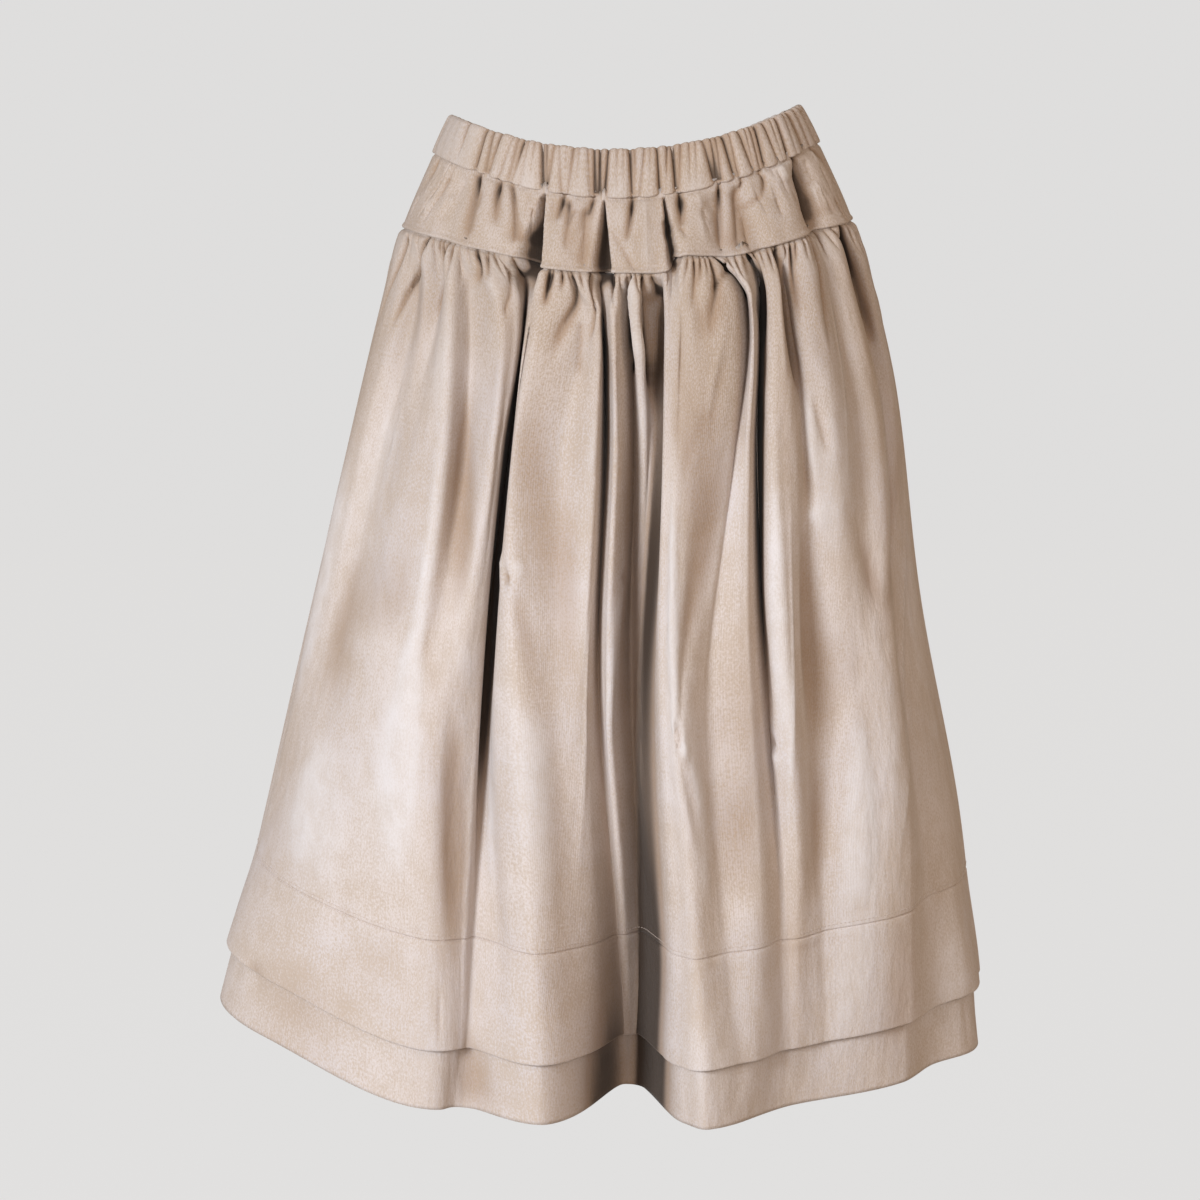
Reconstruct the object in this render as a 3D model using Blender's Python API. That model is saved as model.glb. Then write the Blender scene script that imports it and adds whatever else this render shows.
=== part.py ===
"""Gathered midi skirt in needlecord, worn form, held at the waist.

Seven sewn pieces: an elastic waistband, a yoke and a gathered skirt panel for the front and for the
back, and a deep tuck on each panel that hangs over the hem. The front faces -Y, +X is the right side
seen from the front, +Z is up, and the origin is the middle of the waist opening, half-way up the band.

Every surface is a function of two numbers: the place round the cloth and the height at which that
cloth would pass the side seam. Angles go round the body in degrees: 0 is the front middle, 90 the
side at +X, 180 the back middle and 270 the side at -X.
"""

import bpy
import numpy as np

# ---- Driving dimensions (metres, degrees) ----
WALL = 0.002                  # needlecord with its turned edges
BAND_WALL = 0.0045            # casing: two layers of cloth round an elastic
SEAM_GAP = 0.0003             # kept between neighbouring pieces
SIDE_GAP = 0.0006             # kept between the front and back pieces at a side seam
TUCK_GAP = 0.0008             # between the panel and the tuck over it

WAIST_TOP = 0.032             # heights at the side seams
BAND_SEAM = 0.001
YOKE_SEAM = -0.0594
TUCK_SEAM = -0.581
TUCK_EDGE = -0.666
HEM = -0.714

BAND_GATHERS = 68             # round the whole band
BAND_GATHER_DEPTH = 0.0022
YOKE_GATHER_DEPTH = 0.0022
SKIRT_GATHER_DEPTH = 0.0030
GATHERS_PER_FOLD = 2          # small gathers sewn into the seam between two neighbouring folds
TUCK_FLARE = 0.0035           # how far the tuck's free edge stands off the panel
SHARPEST_TURN = 0.6           # cosine of half the sharpest turn at which a wall keeps its thickness

# ---- The figure under the cloth, one row for each height at the side seams ----
# height, half width, depth in front, depth behind, shift to +X, dip in front, dip behind, tilt
SECTIONS = np.array((
    (0.032, 0.138, 0.095, 0.092, 0.000, 0.029, 0.034, 0.004),
    (0.001, 0.153, 0.106, 0.104, 0.001, 0.038, 0.038, 0.004),
    (-0.0594, 0.1795, 0.127, 0.125, 0.002, 0.031, 0.030, 0.003),
    (-0.120, 0.196, 0.140, 0.138, 0.002, 0.028, 0.028, 0.002),
    (-0.201, 0.215, 0.150, 0.150, 0.001, 0.026, 0.026, 0.001),
    (-0.364, 0.244, 0.162, 0.165, -0.006, 0.026, 0.026, 0.000),
    (-0.520, 0.279, 0.172, 0.178, -0.009, 0.030, 0.030, -0.004),
    (-0.600, 0.295, 0.178, 0.185, -0.014, 0.032, 0.032, -0.008),
    (-0.714, 0.314, 0.182, 0.192, -0.022, 0.029, 0.029, -0.012),
))

# ---- Folds of the skirt panels ----
# A row is one crest or trough: its place across the cloth from side seam to side seam, then its
# (angle, millimetres out from the figure) at each height in FOLD_HEIGHTS. GONE marks heights where
# the fold has melted into its neighbours.
FOLD_HEIGHTS = (-0.092, -0.210, -0.405, HEM)
GONE = None
FRONT_FOLDS = (
    (0.000, (-90, 0), (-90, 0), (-90, 0), (-90, 0)),
    (0.060, (-68, 3), (-69, 4), GONE, GONE),
    (0.095, (-62, -4), (-62, -7), (-62, 4), GONE),
    (0.125, (-56, 2), GONE, GONE, GONE),
    (0.145, (-52, -6), GONE, GONE, GONE),
    (0.190, (-44, 6), (-39, 13), (-36, 29), (-28, 42)),
    (0.225, (-37, -4), (-32, -6), GONE, GONE),
    (0.255, (-31, 6), (-27, 7), GONE, GONE),
    (0.275, (-27.5, 2), (-25, 3), (-24.5, 4), GONE),
    (0.315, (-31, -35), (-30, -46), (-27, -52), (-18, -8)),
    (0.365, (-21, 6), (-23, 9), (-15.5, 28), (-7, 42)),
    (0.395, (-11, -5), (-14, -8), (-10, 10), GONE),
    (0.415, (-7.5, 2), (-7, 4), (-6, -1), GONE),
    (0.445, (-6.2, -30), (-4.5, -38), (-3.8, -37), (2.8, -76)),
    (0.475, (-3, 4), (-2, -2), (-1.3, -28), (5.0, -86)),
    (0.495, (0, -20), (0.8, -38), (3, -62), (7.2, -76)),
    (0.515, (1.8, 1), (3.2, -14), GONE, GONE),
    (0.535, (5, -14), (5.5, -24), (6.3, -32), GONE),
    (0.560, (7.8, 2), (6.8, 8), (7.2, 20), (10.2, 18)),
    (0.600, (16, 8), (12.7, 16), (10.5, 28), (14, 50)),
    (0.635, (25, -10), (21.5, -6), (15.5, 8), GONE),
    (0.655, (28, 4), (24.5, 6), (22, 19), GONE),
    (0.690, (36, -32), (32.5, -42), (27, -22), GONE),
    (0.720, (34.5, 6), (31.5, 8), (30.5, 7), (29, 4)),
    (0.755, (42, -13), (39.3, -8), (37.5, -13), GONE),
    (0.790, (48, 5), (47.3, 6), (47, 4), GONE),
    (0.830, (56.5, -3), (57.5, -4), GONE, GONE),
    (0.860, (61, 3), (63, 3), (57, 11), (50.5, 5)),
    (0.895, (68, -10), (73, -4), (66, -6), (62, -8)),
    (0.930, (76, 3), (78, 3), GONE, (74, 4)),
    (1.000, (90, 0), (90, 0), (90, 0), (90, 0)),
)
BACK_FOLDS = (
    (0.000, (90, 0), (90, 0), (90, 0), (90, 0)),
    (0.045, (98, 4), (98, 5), (100, 6), (101, 6)),
    (0.085, (106, -5), (106, -8), (109, -8), (112, -12)),
    (0.125, (115, 4), (114, 5), GONE, GONE),
    (0.165, (122, -8), (121, -12), (122, -4), GONE),
    (0.205, (130, 5), (131, 8), (131, 14), (130, 22)),
    (0.250, (138, -13), (140, -20), (141, -22), (143, -22)),
    (0.290, (145, 4), (146, 7), (149, 6), GONE),
    (0.325, (150, -9), (152, -11), GONE, GONE),
    (0.365, (157, 5), (158, 7), (158, 18), (156, 30)),
    (0.405, (163, -17), (165, -25), (165, -24), (166, -24)),
    (0.445, (169, 4), (170, 4), GONE, GONE),
    (0.475, (175, -10), (175, -15), (174, -12), GONE),
    (0.515, (181, 5), (180, 8), (181, 18), (179, 32)),
    (0.560, (188, -18), (188, -28), (189, -30), (190, -32)),
    (0.600, (194, 5), (194, 6), (197, 6), GONE),
    (0.630, (200, -8), (201, -10), GONE, GONE),
    (0.665, (206, 4), (206, 7), (205, 18), (204, 28)),
    (0.710, (214, -14), (215, -22), (216, -20), (217, -22)),
    (0.750, (222, 5), (222, 7), (224, 8), GONE),
    (0.795, (230, -8), (231, -11), (231, -4), GONE),
    (0.840, (238, 4), (239, 6), (240, 12), (239, 16)),
    (0.885, (247, -7), (248, -10), (250, -8), (251, -10)),
    (0.940, (258, 4), (258, 5), (260, 6), (260, 6)),
    (1.000, (270, 0), (270, 0), (270, 0), (270, 0)),
)

# ---- Folds of the yokes: soft troughs that run from the band seam to the yoke seam ----
# angle at the band, angle at the yoke seam, half width in degrees, millimetres out at each end
YOKE_FOLDS = np.array((
    (-70, -68, 4.0, -2, 1),
    (-56, -54, 4.5, -5, -3),
    (-42, -44, 4.0, 2, 1),
    (-21, -26, 3.0, -6, -13),
    (-14, -19, 3.5, 4, 4),
    (-7, -6, 2.2, -6, -9),
    (2, 0, 4.0, 4, 3),
    (8, 7, 2.4, -6, -8),
    (15, 14, 4.5, 3, 4),
    (25, 24, 3.0, -6, -3),
    (34, 35, 3.2, -5, -5),
    (56, 52, 4.0, -6, -3),
    (74, 72, 5.0, 2, 2),
    (108, 106, 5.0, -4, -3),
    (124, 122, 4.0, -6, -6),
    (140, 140, 4.5, 4, 3),
    (154, 152, 3.5, -6, -7),
    (168, 166, 3.5, -5, -6),
    (180, 180, 4.5, 4, 4),
    (192, 190, 3.5, -6, -8),
    (206, 207, 4.0, -5, -5),
    (222, 220, 5.0, 3, 3),
    (238, 237, 4.0, -6, -5),
    (254, 252, 4.5, -3, -4),
))

# The gathering is uneven, so the front yoke seam steps up and down: angle, millimetres of lift.
FRONT_SEAM_STEPS = np.array((
    (-90, 0), (-42, 3), (-29, 2), (-24, -2), (0, -3), (6, -3), (9, 7), (18, 6), (26, 2), (50, 3), (90, 0),
))


def smooth(x, knots, values):
    """Cubic curve through (knot, value) pairs; the slope at a pair points from one neighbour to
    the next. Values may have further axes, which are carried along."""
    knots = np.asarray(knots, float)
    values = np.asarray(values, float)
    slopes = np.empty_like(values)
    span = (knots[2:] - knots[:-2]).reshape((-1,) + (1,) * (values.ndim - 1))
    slopes[1:-1] = (values[2:] - values[:-2]) / span
    slopes[0] = (values[1] - values[0]) / (knots[1] - knots[0])
    slopes[-1] = (values[-1] - values[-2]) / (knots[-1] - knots[-2])
    x = np.clip(x, knots[0], knots[-1])
    i = np.clip(np.searchsorted(knots, x, side="right") - 1, 0, len(knots) - 2)
    extra = (1,) * (values.ndim - 1)
    step = (knots[i + 1] - knots[i]).reshape(x.shape + extra)
    s = ((x - knots[i]) / (knots[i + 1] - knots[i])).reshape(x.shape + extra)
    rise = s * s * (3 - 2 * s)
    return (values[i] * (1 - rise) + values[i + 1] * rise
            + step * s * (1 - s) * ((1 - s) * slopes[i] - s * slopes[i + 1]))


def ramp(x, start, end):
    """0 before start, 1 after end, eased between."""
    s = np.clip((x - start) / (end - start), 0, 1)
    return s * s * (3 - 2 * s)


def place(angle, height, out):
    """Point at an angle round the body, on the section at a height, moved out along its normal.

    The section is half an ellipse in front and half behind. Away from the side seams the cloth
    hangs lower by the section's dip, and the tilt lifts the +X side."""
    rows = smooth(-height, -SECTIONS[:, 0], SECTIONS[:, 1:])
    half_width, front, back, shift, front_dip, back_dip, tilt = np.moveaxis(rows, -1, 0)
    sine = np.sin(np.radians(angle))
    cosine = np.cos(np.radians(angle))
    depth = np.where(cosine > 0, front, back)
    dip = np.where(cosine > 0, front_dip, back_dip)
    normal_x = sine / half_width
    normal_y = -cosine / depth
    length = np.hypot(normal_x, normal_y)
    return np.stack((shift + half_width * sine + out * normal_x / length,
                     -depth * cosine + out * normal_y / length,
                     height - dip * cosine ** 2 + tilt * sine), axis=-1)


def even_angles(share, start, height):
    """Angles that divide half the section at a height into equal lengths of seam."""
    fine = np.linspace(start, start + 180, 721)
    points = place(fine, np.full_like(fine, height), np.zeros_like(fine))
    run = np.concatenate(([0], np.cumsum(np.linalg.norm(np.diff(points, axis=0), axis=1))))
    return np.interp(share * run[-1], run, fine)


def side_ease(cloth):
    """1 over a panel, 0 at its side seams, so that small gathers end before a seam."""
    return np.clip(np.minimum(cloth, 1 - cloth) / 0.015, 0, 1)


def yoke_out(angle, height):
    """Metres that the yoke's soft folds move it out at an angle and a height."""
    down = ramp(-height, -BAND_SEAM, -YOKE_SEAM)
    out = np.zeros(np.broadcast(angle, height).shape)
    for top_angle, foot_angle, half_width, top_mm, foot_mm in YOKE_FOLDS:
        middle = top_angle + (foot_angle - top_angle) * down
        turn = (angle - middle + 180) % 360 - 180
        size = top_mm + (foot_mm - top_mm) * down
        out = out + 0.001 * size * np.exp(-(turn / half_width) ** 2)
    return out * ramp(-height, -BAND_SEAM, -BAND_SEAM + 0.018)


def seam_lift(angle, height):
    """Metres that the front yoke seam is lifted; it fades out up the yoke and down the skirt."""
    lift = smooth(np.clip(angle, -90, 90), FRONT_SEAM_STEPS[:, 0], FRONT_SEAM_STEPS[:, 1]) * 0.001
    above = ramp(-height, -BAND_SEAM, -YOKE_SEAM)
    below = 1 - ramp(-height, -YOKE_SEAM, 0.150)
    return lift * above * below


def fold_columns(folds, parts):
    """Places across the cloth that split each step between two folds into equal parts."""
    cloth = np.array([fold[0] for fold in folds])
    count = (len(cloth) - 1) * parts
    return np.interp(np.arange(count + 1) / parts, np.arange(len(cloth)), cloth)


def skirt_point(cloth, height, folds):
    """Middle of a skirt panel's wall, for a place across the cloth and a height.

    At each height in FOLD_HEIGHTS a smooth curve runs through the crests and troughs
    that still stand there. The yoke seam is one more such curve, evenly gathered. Between those
    heights the curves change smoothly. The small gathers ride on top and fade downwards."""
    start = folds[0][1][0]
    seam_angles = even_angles(cloth, start, YOKE_SEAM)
    angles = [seam_angles]
    outs = [1000 * yoke_out(seam_angles, np.full_like(seam_angles, YOKE_SEAM))]
    for level in range(len(FOLD_HEIGHTS)):
        rows = [(fold[0],) + fold[level + 1] for fold in folds if fold[level + 1] is not GONE]
        knots, angle, out = np.array(rows, float).T
        angles.append(smooth(cloth, knots, angle))
        outs.append(smooth(cloth, knots, out))
    levels = -np.array((YOKE_SEAM,) + FOLD_HEIGHTS)
    angle = smooth(-height, levels, np.array(angles))
    out = smooth(-height, levels, np.array(outs)) * 0.001
    index = np.interp(cloth, [fold[0] for fold in folds], np.arange(len(folds)))
    wave = np.cos(2 * np.pi * GATHERS_PER_FOLD * index)
    fade = ramp(-height, -YOKE_SEAM - 0.004, -YOKE_SEAM + 0.012)
    fade = fade * (1 - ramp(-height, -YOKE_SEAM + 0.022, -YOKE_SEAM + 0.085))
    out = out + SKIRT_GATHER_DEPTH * fade[:, None] * (wave * side_ease(cloth))[None, :]
    out = out - (WALL + SEAM_GAP) * ramp(-height, -TUCK_SEAM - 0.012, -TUCK_SEAM)[:, None]
    height = np.broadcast_to(height[:, None], angle.shape)
    points = place(angle, height, out)
    if folds is FRONT_FOLDS:
        points[..., 2] += seam_lift(angle, height)
    return points


def directions(points, axis):
    """Unit directions along one axis of a grid, each midway between the steps on its two sides,
    and the cosine of half the turn between those steps."""
    step = np.diff(points, axis=axis)
    step /= np.linalg.norm(step, axis=-1, keepdims=True)
    first = np.take(step, [0], axis=axis)
    last = np.take(step, [-1], axis=axis)
    total = np.concatenate((first, step), axis=axis) + np.concatenate((step, last), axis=axis)
    length = np.linalg.norm(total, axis=-1, keepdims=True)
    return total / length, length / 2


def outward_steps(points):
    """Outward normals of a grid whose rows run down, lengthened where the cloth turns sharply, so
    that a wall made along them keeps its thickness between the turns."""
    across, cosine = directions(points, 1)
    down, _ = directions(points, 0)
    cross = np.cross(down, across)
    return cross / np.linalg.norm(cross, axis=-1, keepdims=True) / np.maximum(cosine, SHARPEST_TURN)


def square_edges(outward):
    """The same steps, level along the top and bottom rows and straight across the body at the side
    seams, so that sewn edges meet squarely."""
    outward = outward.copy()
    for edge, flat_axis in ((np.s_[0], 2), (np.s_[-1], 2), (np.s_[:, 0], 1), (np.s_[:, -1], 1)):
        outward[edge][:, flat_axis] = 0
        outward[edge] /= np.linalg.norm(outward[edge], axis=-1, keepdims=True)
    return outward


def trim_sides(cloth, folds):
    """Cloth places pulled in at both ends so that a side seam has its gap."""
    start = folds[0][1][0]
    points = place(np.array((start, start + 2.0)), np.full(2, YOKE_SEAM), np.zeros(2))
    per_share = np.linalg.norm(points[1] - points[0]) / 2.0 * 180
    edge = SIDE_GAP / 2 / per_share
    return edge + (1 - 2 * edge) * cloth


# ---- Meshes ----
def needlecord(name):
    """A piece's own matt, beige needlecord."""
    made = bpy.data.materials.new(name)
    made.use_nodes = True
    shader = made.node_tree.nodes["Principled BSDF"]
    shader.inputs["Base Color"].default_value = (0.50, 0.40, 0.31, 1.0)
    shader.inputs["Roughness"].default_value = 0.85
    shader.inputs["Metallic"].default_value = 0.0
    return made


def add_object(name, points, faces):
    """A smooth-shaded mesh object from points and faces."""
    mesh = bpy.data.meshes.new(name)
    mesh.from_pydata([tuple(point) for point in points], [], faces)
    mesh.materials.append(needlecord(name + "_needlecord"))
    mesh.validate()
    mesh.shade_smooth()
    made = bpy.data.objects.new(name, mesh)
    bpy.context.scene.collection.objects.link(made)
    return made


def closed_wall(name, outer, inner):
    """A wall between an outer and an inner skin, each a list of rows of points, joined round the
    edges. A row may have half as many steps as the row above it."""
    points = []
    numbers = []
    for skin in (outer, inner):
        skin_numbers = []
        for row in skin:
            skin_numbers.append(list(range(len(points), len(points) + len(row))))
            points.extend(row)
        numbers.append(skin_numbers)
    faces = []
    for skin_numbers, flipped in zip(numbers, (False, True)):
        for upper, lower in zip(skin_numbers, skin_numbers[1:]):
            if len(upper) == len(lower):
                found = [[upper[i], lower[i], lower[i + 1], upper[i + 1]]
                         for i in range(len(lower) - 1)]
            else:
                found = []
                for i in range(len(lower) - 1):
                    left, middle, right = upper[2 * i:2 * i + 3]
                    found.append([left, lower[i], middle])
                    found.append([middle, lower[i], lower[i + 1]])
                    found.append([middle, lower[i + 1], right])
            faces.extend([face[::-1] for face in found] if flipped else found)
    rims = []
    for skin_numbers in numbers:
        rim = list(skin_numbers[0])
        rim += [row[-1] for row in skin_numbers[1:]]
        rim += skin_numbers[-1][-2::-1]
        rim += [row[0] for row in skin_numbers[-2:0:-1]]
        rims.append(rim)
    outer_rim, inner_rim = rims
    for i in range(len(outer_rim)):
        j = (i + 1) % len(outer_rim)
        faces.append([outer_rim[i], outer_rim[j], inner_rim[j], inner_rim[i]])
    return add_object(name, points, faces)


def wall_from_middle(name, middle, outward, thickness):
    """A wall about rows of middle points, half its thickness to either side."""
    outer = [row + step * thickness / 2 for row, step in zip(middle, outward)]
    inner = [row - step * thickness / 2 for row, step in zip(middle, outward)]
    return closed_wall(name, outer, inner)


# ---- Pieces ----
SKIRT_ROWS = np.array((YOKE_SEAM - SEAM_GAP / 2, -0.070, -0.084, -0.106, -0.140, -0.190, -0.250, -0.320,
                       -0.400, -0.480, -0.545, TUCK_SEAM, -0.624, TUCK_EDGE, HEM))
GATHERED_ROWS = 5             # the rows that carry the small gathers
FIRST_TUCK_ROW = 11
TUCK_ROW_COUNT = 3
YOKE_ROWS = np.array((BAND_SEAM - SEAM_GAP / 2, -0.012, -0.033, YOKE_SEAM + SEAM_GAP / 2))
YOKE_GATHERS = 12             # on each yoke, sewn into the band


def skirt_panel(side, folds):
    """A gathered panel from the yoke seam to the hem, and the deep tuck on it. The tuck is made
    from the panel's points: its stitched top lies on the panel, its free edge stands a little off."""
    cloth = trim_sides(fold_columns(folds, 2 * GATHERS_PER_FOLD), folds)
    fine = skirt_point(cloth, SKIRT_ROWS, folds)
    coarse = fine[:, ::2]
    fine_steps = square_edges(outward_steps(fine))
    coarse_steps = square_edges(outward_steps(coarse))
    middle = list(fine[:GATHERED_ROWS]) + list(coarse[GATHERED_ROWS:])
    outward = list(fine_steps[:GATHERED_ROWS]) + list(coarse_steps[GATHERED_ROWS:])
    wall_from_middle("skirt_" + side, middle, outward, WALL)
    rows = slice(FIRST_TUCK_ROW, FIRST_TUCK_ROW + TUCK_ROW_COUNT)
    off = WALL + TUCK_GAP + TUCK_FLARE * ramp(-SKIRT_ROWS[rows], -TUCK_SEAM, -TUCK_EDGE)
    tuck_middle = coarse[rows] + coarse_steps[rows] * off[:, None, None]
    wall_from_middle("tuck_" + side, tuck_middle, coarse_steps[rows], WALL)


def yoke(side, folds):
    """A plain yoke, gathered a little into the band. Its columns are those of the skirt panel that
    is sewn to it, so the two edges match."""
    cloth = trim_sides(fold_columns(folds, 2 * GATHERS_PER_FOLD), folds)
    angle = even_angles(cloth, folds[0][1][0], YOKE_SEAM)
    angle = np.broadcast_to(angle, (len(YOKE_ROWS), len(angle)))
    height = np.broadcast_to(YOKE_ROWS[:, None], angle.shape)
    fade = ramp(-YOKE_ROWS, -BAND_SEAM - 0.002, -BAND_SEAM + 0.008)
    fade = fade * (1 - ramp(-YOKE_ROWS, -BAND_SEAM + 0.012, -BAND_SEAM + 0.040))
    wave = np.cos(2 * np.pi * YOKE_GATHERS * cloth) * side_ease(cloth)
    out = yoke_out(angle, height) + YOKE_GATHER_DEPTH * fade[:, None] * wave[None, :]
    middle = place(angle, height, out)
    if folds is FRONT_FOLDS:
        middle[..., 2] += seam_lift(angle, height)
    outward = square_edges(outward_steps(middle))
    wall_from_middle("yoke_" + side, middle, outward, WALL)


def waistband(name):
    """A closed ring: gathered outside, plain inside, with a rounded top fold."""
    columns = 2 * BAND_GATHERS
    angle = 360 * np.arange(columns) / columns
    crest = np.where(np.arange(columns) % 2 == 0, 1.0, -1.0)
    foot = BAND_SEAM + SEAM_GAP / 2
    half = BAND_WALL / 2
    profile = (
        # height, metres out from the band's middle, share of the gathers
        (foot, 0.7 * half, 0.3),
        (foot + 0.006, half, 1.0),
        ((foot + WAIST_TOP) / 2, half, 1.0),
        (WAIST_TOP - 0.006, half, 1.0),
        (WAIST_TOP, 0.4 * half, 0.4),
        (WAIST_TOP, -0.5 * half, 0.0),
        (WAIST_TOP - 0.004, -half, 0.0),
        (foot, -half, 0.0),
    )
    rings = []
    for height, out, share in profile:
        reach = out + BAND_GATHER_DEPTH * share * (crest - 1) / 2
        rings.append(place(angle, np.full(columns, height), reach))
    points = np.concatenate(rings)
    faces = []
    count = len(profile)
    for ring in range(count):
        for column in range(columns):
            across = (column + 1) % columns
            above = (ring + 1) % count
            faces.append([ring * columns + column, ring * columns + across,
                          above * columns + across, above * columns + column])
    return add_object(name, points, faces)


def build():
    """Empty the scene, then make every piece."""
    for old in list(bpy.data.objects):
        bpy.data.objects.remove(old)
    waistband("waistband")
    yoke("front", FRONT_FOLDS)
    yoke("back", BACK_FOLDS)
    skirt_panel("front", FRONT_FOLDS)
    skirt_panel("back", BACK_FOLDS)


build()
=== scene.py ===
# %% [markdown]
# # A gathered midi skirt in needlecord
#
# The real skirt is sewn from a few plain shapes: an elastic waistband, a yoke in front and one behind,
# two full panels that are gathered into the yokes, and a deep tuck folded into each panel above its
# hem. Every surface below is a function of two numbers, how far across the cloth and how far down it,
# worked out as whole numpy arrays. A cloth simulation could drape it too, but then no fold would stand
# where it should, so the folds are placed one by one.

import math

import bpy
import numpy as np
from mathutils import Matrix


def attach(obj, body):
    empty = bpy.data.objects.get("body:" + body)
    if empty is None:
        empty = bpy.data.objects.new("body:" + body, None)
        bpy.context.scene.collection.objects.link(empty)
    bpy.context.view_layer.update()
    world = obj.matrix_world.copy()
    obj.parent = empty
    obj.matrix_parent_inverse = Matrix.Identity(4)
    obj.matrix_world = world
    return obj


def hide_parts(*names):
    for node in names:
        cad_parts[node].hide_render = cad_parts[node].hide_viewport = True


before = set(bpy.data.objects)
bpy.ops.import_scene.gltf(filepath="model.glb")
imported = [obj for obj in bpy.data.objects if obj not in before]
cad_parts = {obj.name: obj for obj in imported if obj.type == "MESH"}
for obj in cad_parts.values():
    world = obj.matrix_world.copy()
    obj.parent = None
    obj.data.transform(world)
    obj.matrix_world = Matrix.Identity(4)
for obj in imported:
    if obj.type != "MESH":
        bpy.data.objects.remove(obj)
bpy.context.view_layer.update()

# %% [markdown]
# ## Camera
#
# A long lens looks slightly down on the skirt from three metres, which gives the photograph's view and
# keeps the hem and the waist in proportion.

# %% Camera
LENS = 111.54                 # millimetres
CAMERA_PLACE = (-0.020, -3.0, 0.032)
LOOKING_DOWN = 7.52           # degrees


def add_object(name, data):
    """A new object in the scene, at the origin."""
    made = bpy.data.objects.new(name, data)
    bpy.context.scene.collection.objects.link(made)
    return made


camera_data = bpy.data.cameras.new("camera")
camera_data.sensor_width = 36
camera_data.lens = LENS
camera = add_object("camera", camera_data)
camera.location = CAMERA_PLACE
camera.rotation_euler = (math.pi / 2 - math.radians(LOOKING_DOWN), 0, 0)
bpy.context.scene.camera = camera
print("lens in millimetres:", camera_data.lens)

# %% [markdown]
# ## The figure that fills the skirt
#
# The cloth hangs on a plain oval figure. A table gives the oval at nine heights, and a smooth curve
# joins the rows. Angles go round the body in degrees: 0 is the front middle and 90 the side at +X.

# %% Heights and the figure
WALL = 0.002
BAND_WALL = 0.0045
WAIST_TOP = 0.032
BAND_SEAM = 0.001
YOKE_SEAM = -0.0594
TUCK_SEAM = -0.581
TUCK_EDGE = -0.666
HEM = -0.714
CUT_WIDTH = 1.05              # of each skirt panel before it is gathered
CORNER_LIFT = 0.018           # how far the hem's -X corner is drawn up

# The seams again in millimetres below the waist, as the tables of creases count.
BAND_DOWN, YOKE_DOWN, TUCK_DOWN, EDGE_DOWN = (-1000 * seam for seam in
                                              (BAND_SEAM, YOKE_SEAM, TUCK_SEAM, TUCK_EDGE))

# height, half width, depth in front, depth behind, shift to +X, dip in front, dip behind, tilt
SECTIONS = np.array((
    (0.032, 0.138, 0.095, 0.092, 0.000, 0.029, 0.034, 0.004),
    (0.001, 0.153, 0.106, 0.104, 0.001, 0.038, 0.038, 0.004),
    (-0.0594, 0.1795, 0.127, 0.125, 0.002, 0.031, 0.030, 0.003),
    (-0.120, 0.196, 0.140, 0.138, 0.002, 0.028, 0.028, 0.002),
    (-0.201, 0.215, 0.150, 0.150, 0.001, 0.026, 0.026, 0.001),
    (-0.364, 0.244, 0.162, 0.165, -0.006, 0.026, 0.026, 0.000),
    (-0.520, 0.277, 0.172, 0.178, -0.008, 0.030, 0.030, -0.004),
    (-0.600, 0.291, 0.178, 0.185, -0.011, 0.032, 0.032, -0.008),
    (-0.714, 0.310, 0.182, 0.192, -0.019, 0.029, 0.029, -0.012),
))


def smooth(x, knots, values):
    """Cubic curve through (knot, value) pairs; its slope at a pair points from one neighbour to the
    next. Values may have further axes, which are carried along."""
    knots = np.asarray(knots, float)
    values = np.asarray(values, float)
    slopes = np.empty_like(values)
    span = (knots[2:] - knots[:-2]).reshape((-1,) + (1,) * (values.ndim - 1))
    slopes[1:-1] = (values[2:] - values[:-2]) / span
    slopes[0] = (values[1] - values[0]) / (knots[1] - knots[0])
    slopes[-1] = (values[-1] - values[-2]) / (knots[-1] - knots[-2])
    x = np.clip(x, knots[0], knots[-1])
    i = np.clip(np.searchsorted(knots, x, side="right") - 1, 0, len(knots) - 2)
    extra = (1,) * (values.ndim - 1)
    step = (knots[i + 1] - knots[i]).reshape(x.shape + extra)
    s = ((x - knots[i]) / (knots[i + 1] - knots[i])).reshape(x.shape + extra)
    rise = s * s * (3 - 2 * s)
    return (values[i] * (1 - rise) + values[i + 1] * rise
            + step * s * (1 - s) * ((1 - s) * slopes[i] - s * slopes[i + 1]))


def ramp(x, start, end):
    """0 before start, 1 after end, eased between by 3s^2 - 2s^3."""
    s = np.clip((x - start) / (end - start), 0, 1)
    return s * s * (3 - 2 * s)


def turn_from(middle, angle):
    """Degrees from one angle to another, from -180 to 180."""
    return (angle - middle + 180) % 360 - 180


def place(angle, height, out):
    """Point at an angle on the oval of a height, moved out along the oval's normal. The cloth hangs
    lower by the dip times the squared cosine, the tilt lifts the +X side, and the hem's -X corner is
    drawn up."""
    rows = smooth(-height, -SECTIONS[:, 0], SECTIONS[:, 1:])
    half_width, front, back, shift, front_dip, back_dip, tilt = np.moveaxis(rows, -1, 0)
    sine = np.sin(np.radians(angle))
    cosine = np.cos(np.radians(angle))
    depth = np.where(cosine > 0, front, back)
    dip = np.where(cosine > 0, front_dip, back_dip)
    normal_x = sine / half_width
    normal_y = -cosine / depth
    length = np.hypot(normal_x, normal_y)
    corner = CORNER_LIFT * ramp(-height, 0.50, 0.72) * ramp(-sine, 0.42, 0.82)
    return np.stack((shift + half_width * sine + out * normal_x / length,
                     -depth * cosine + out * normal_y / length,
                     height - dip * cosine ** 2 + tilt * sine + corner), axis=-1)


def run_along(points):
    """Metres along a line of points, from its first to each of them."""
    return np.concatenate(([0], np.cumsum(np.linalg.norm(np.diff(points, axis=0), axis=1))))


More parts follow.
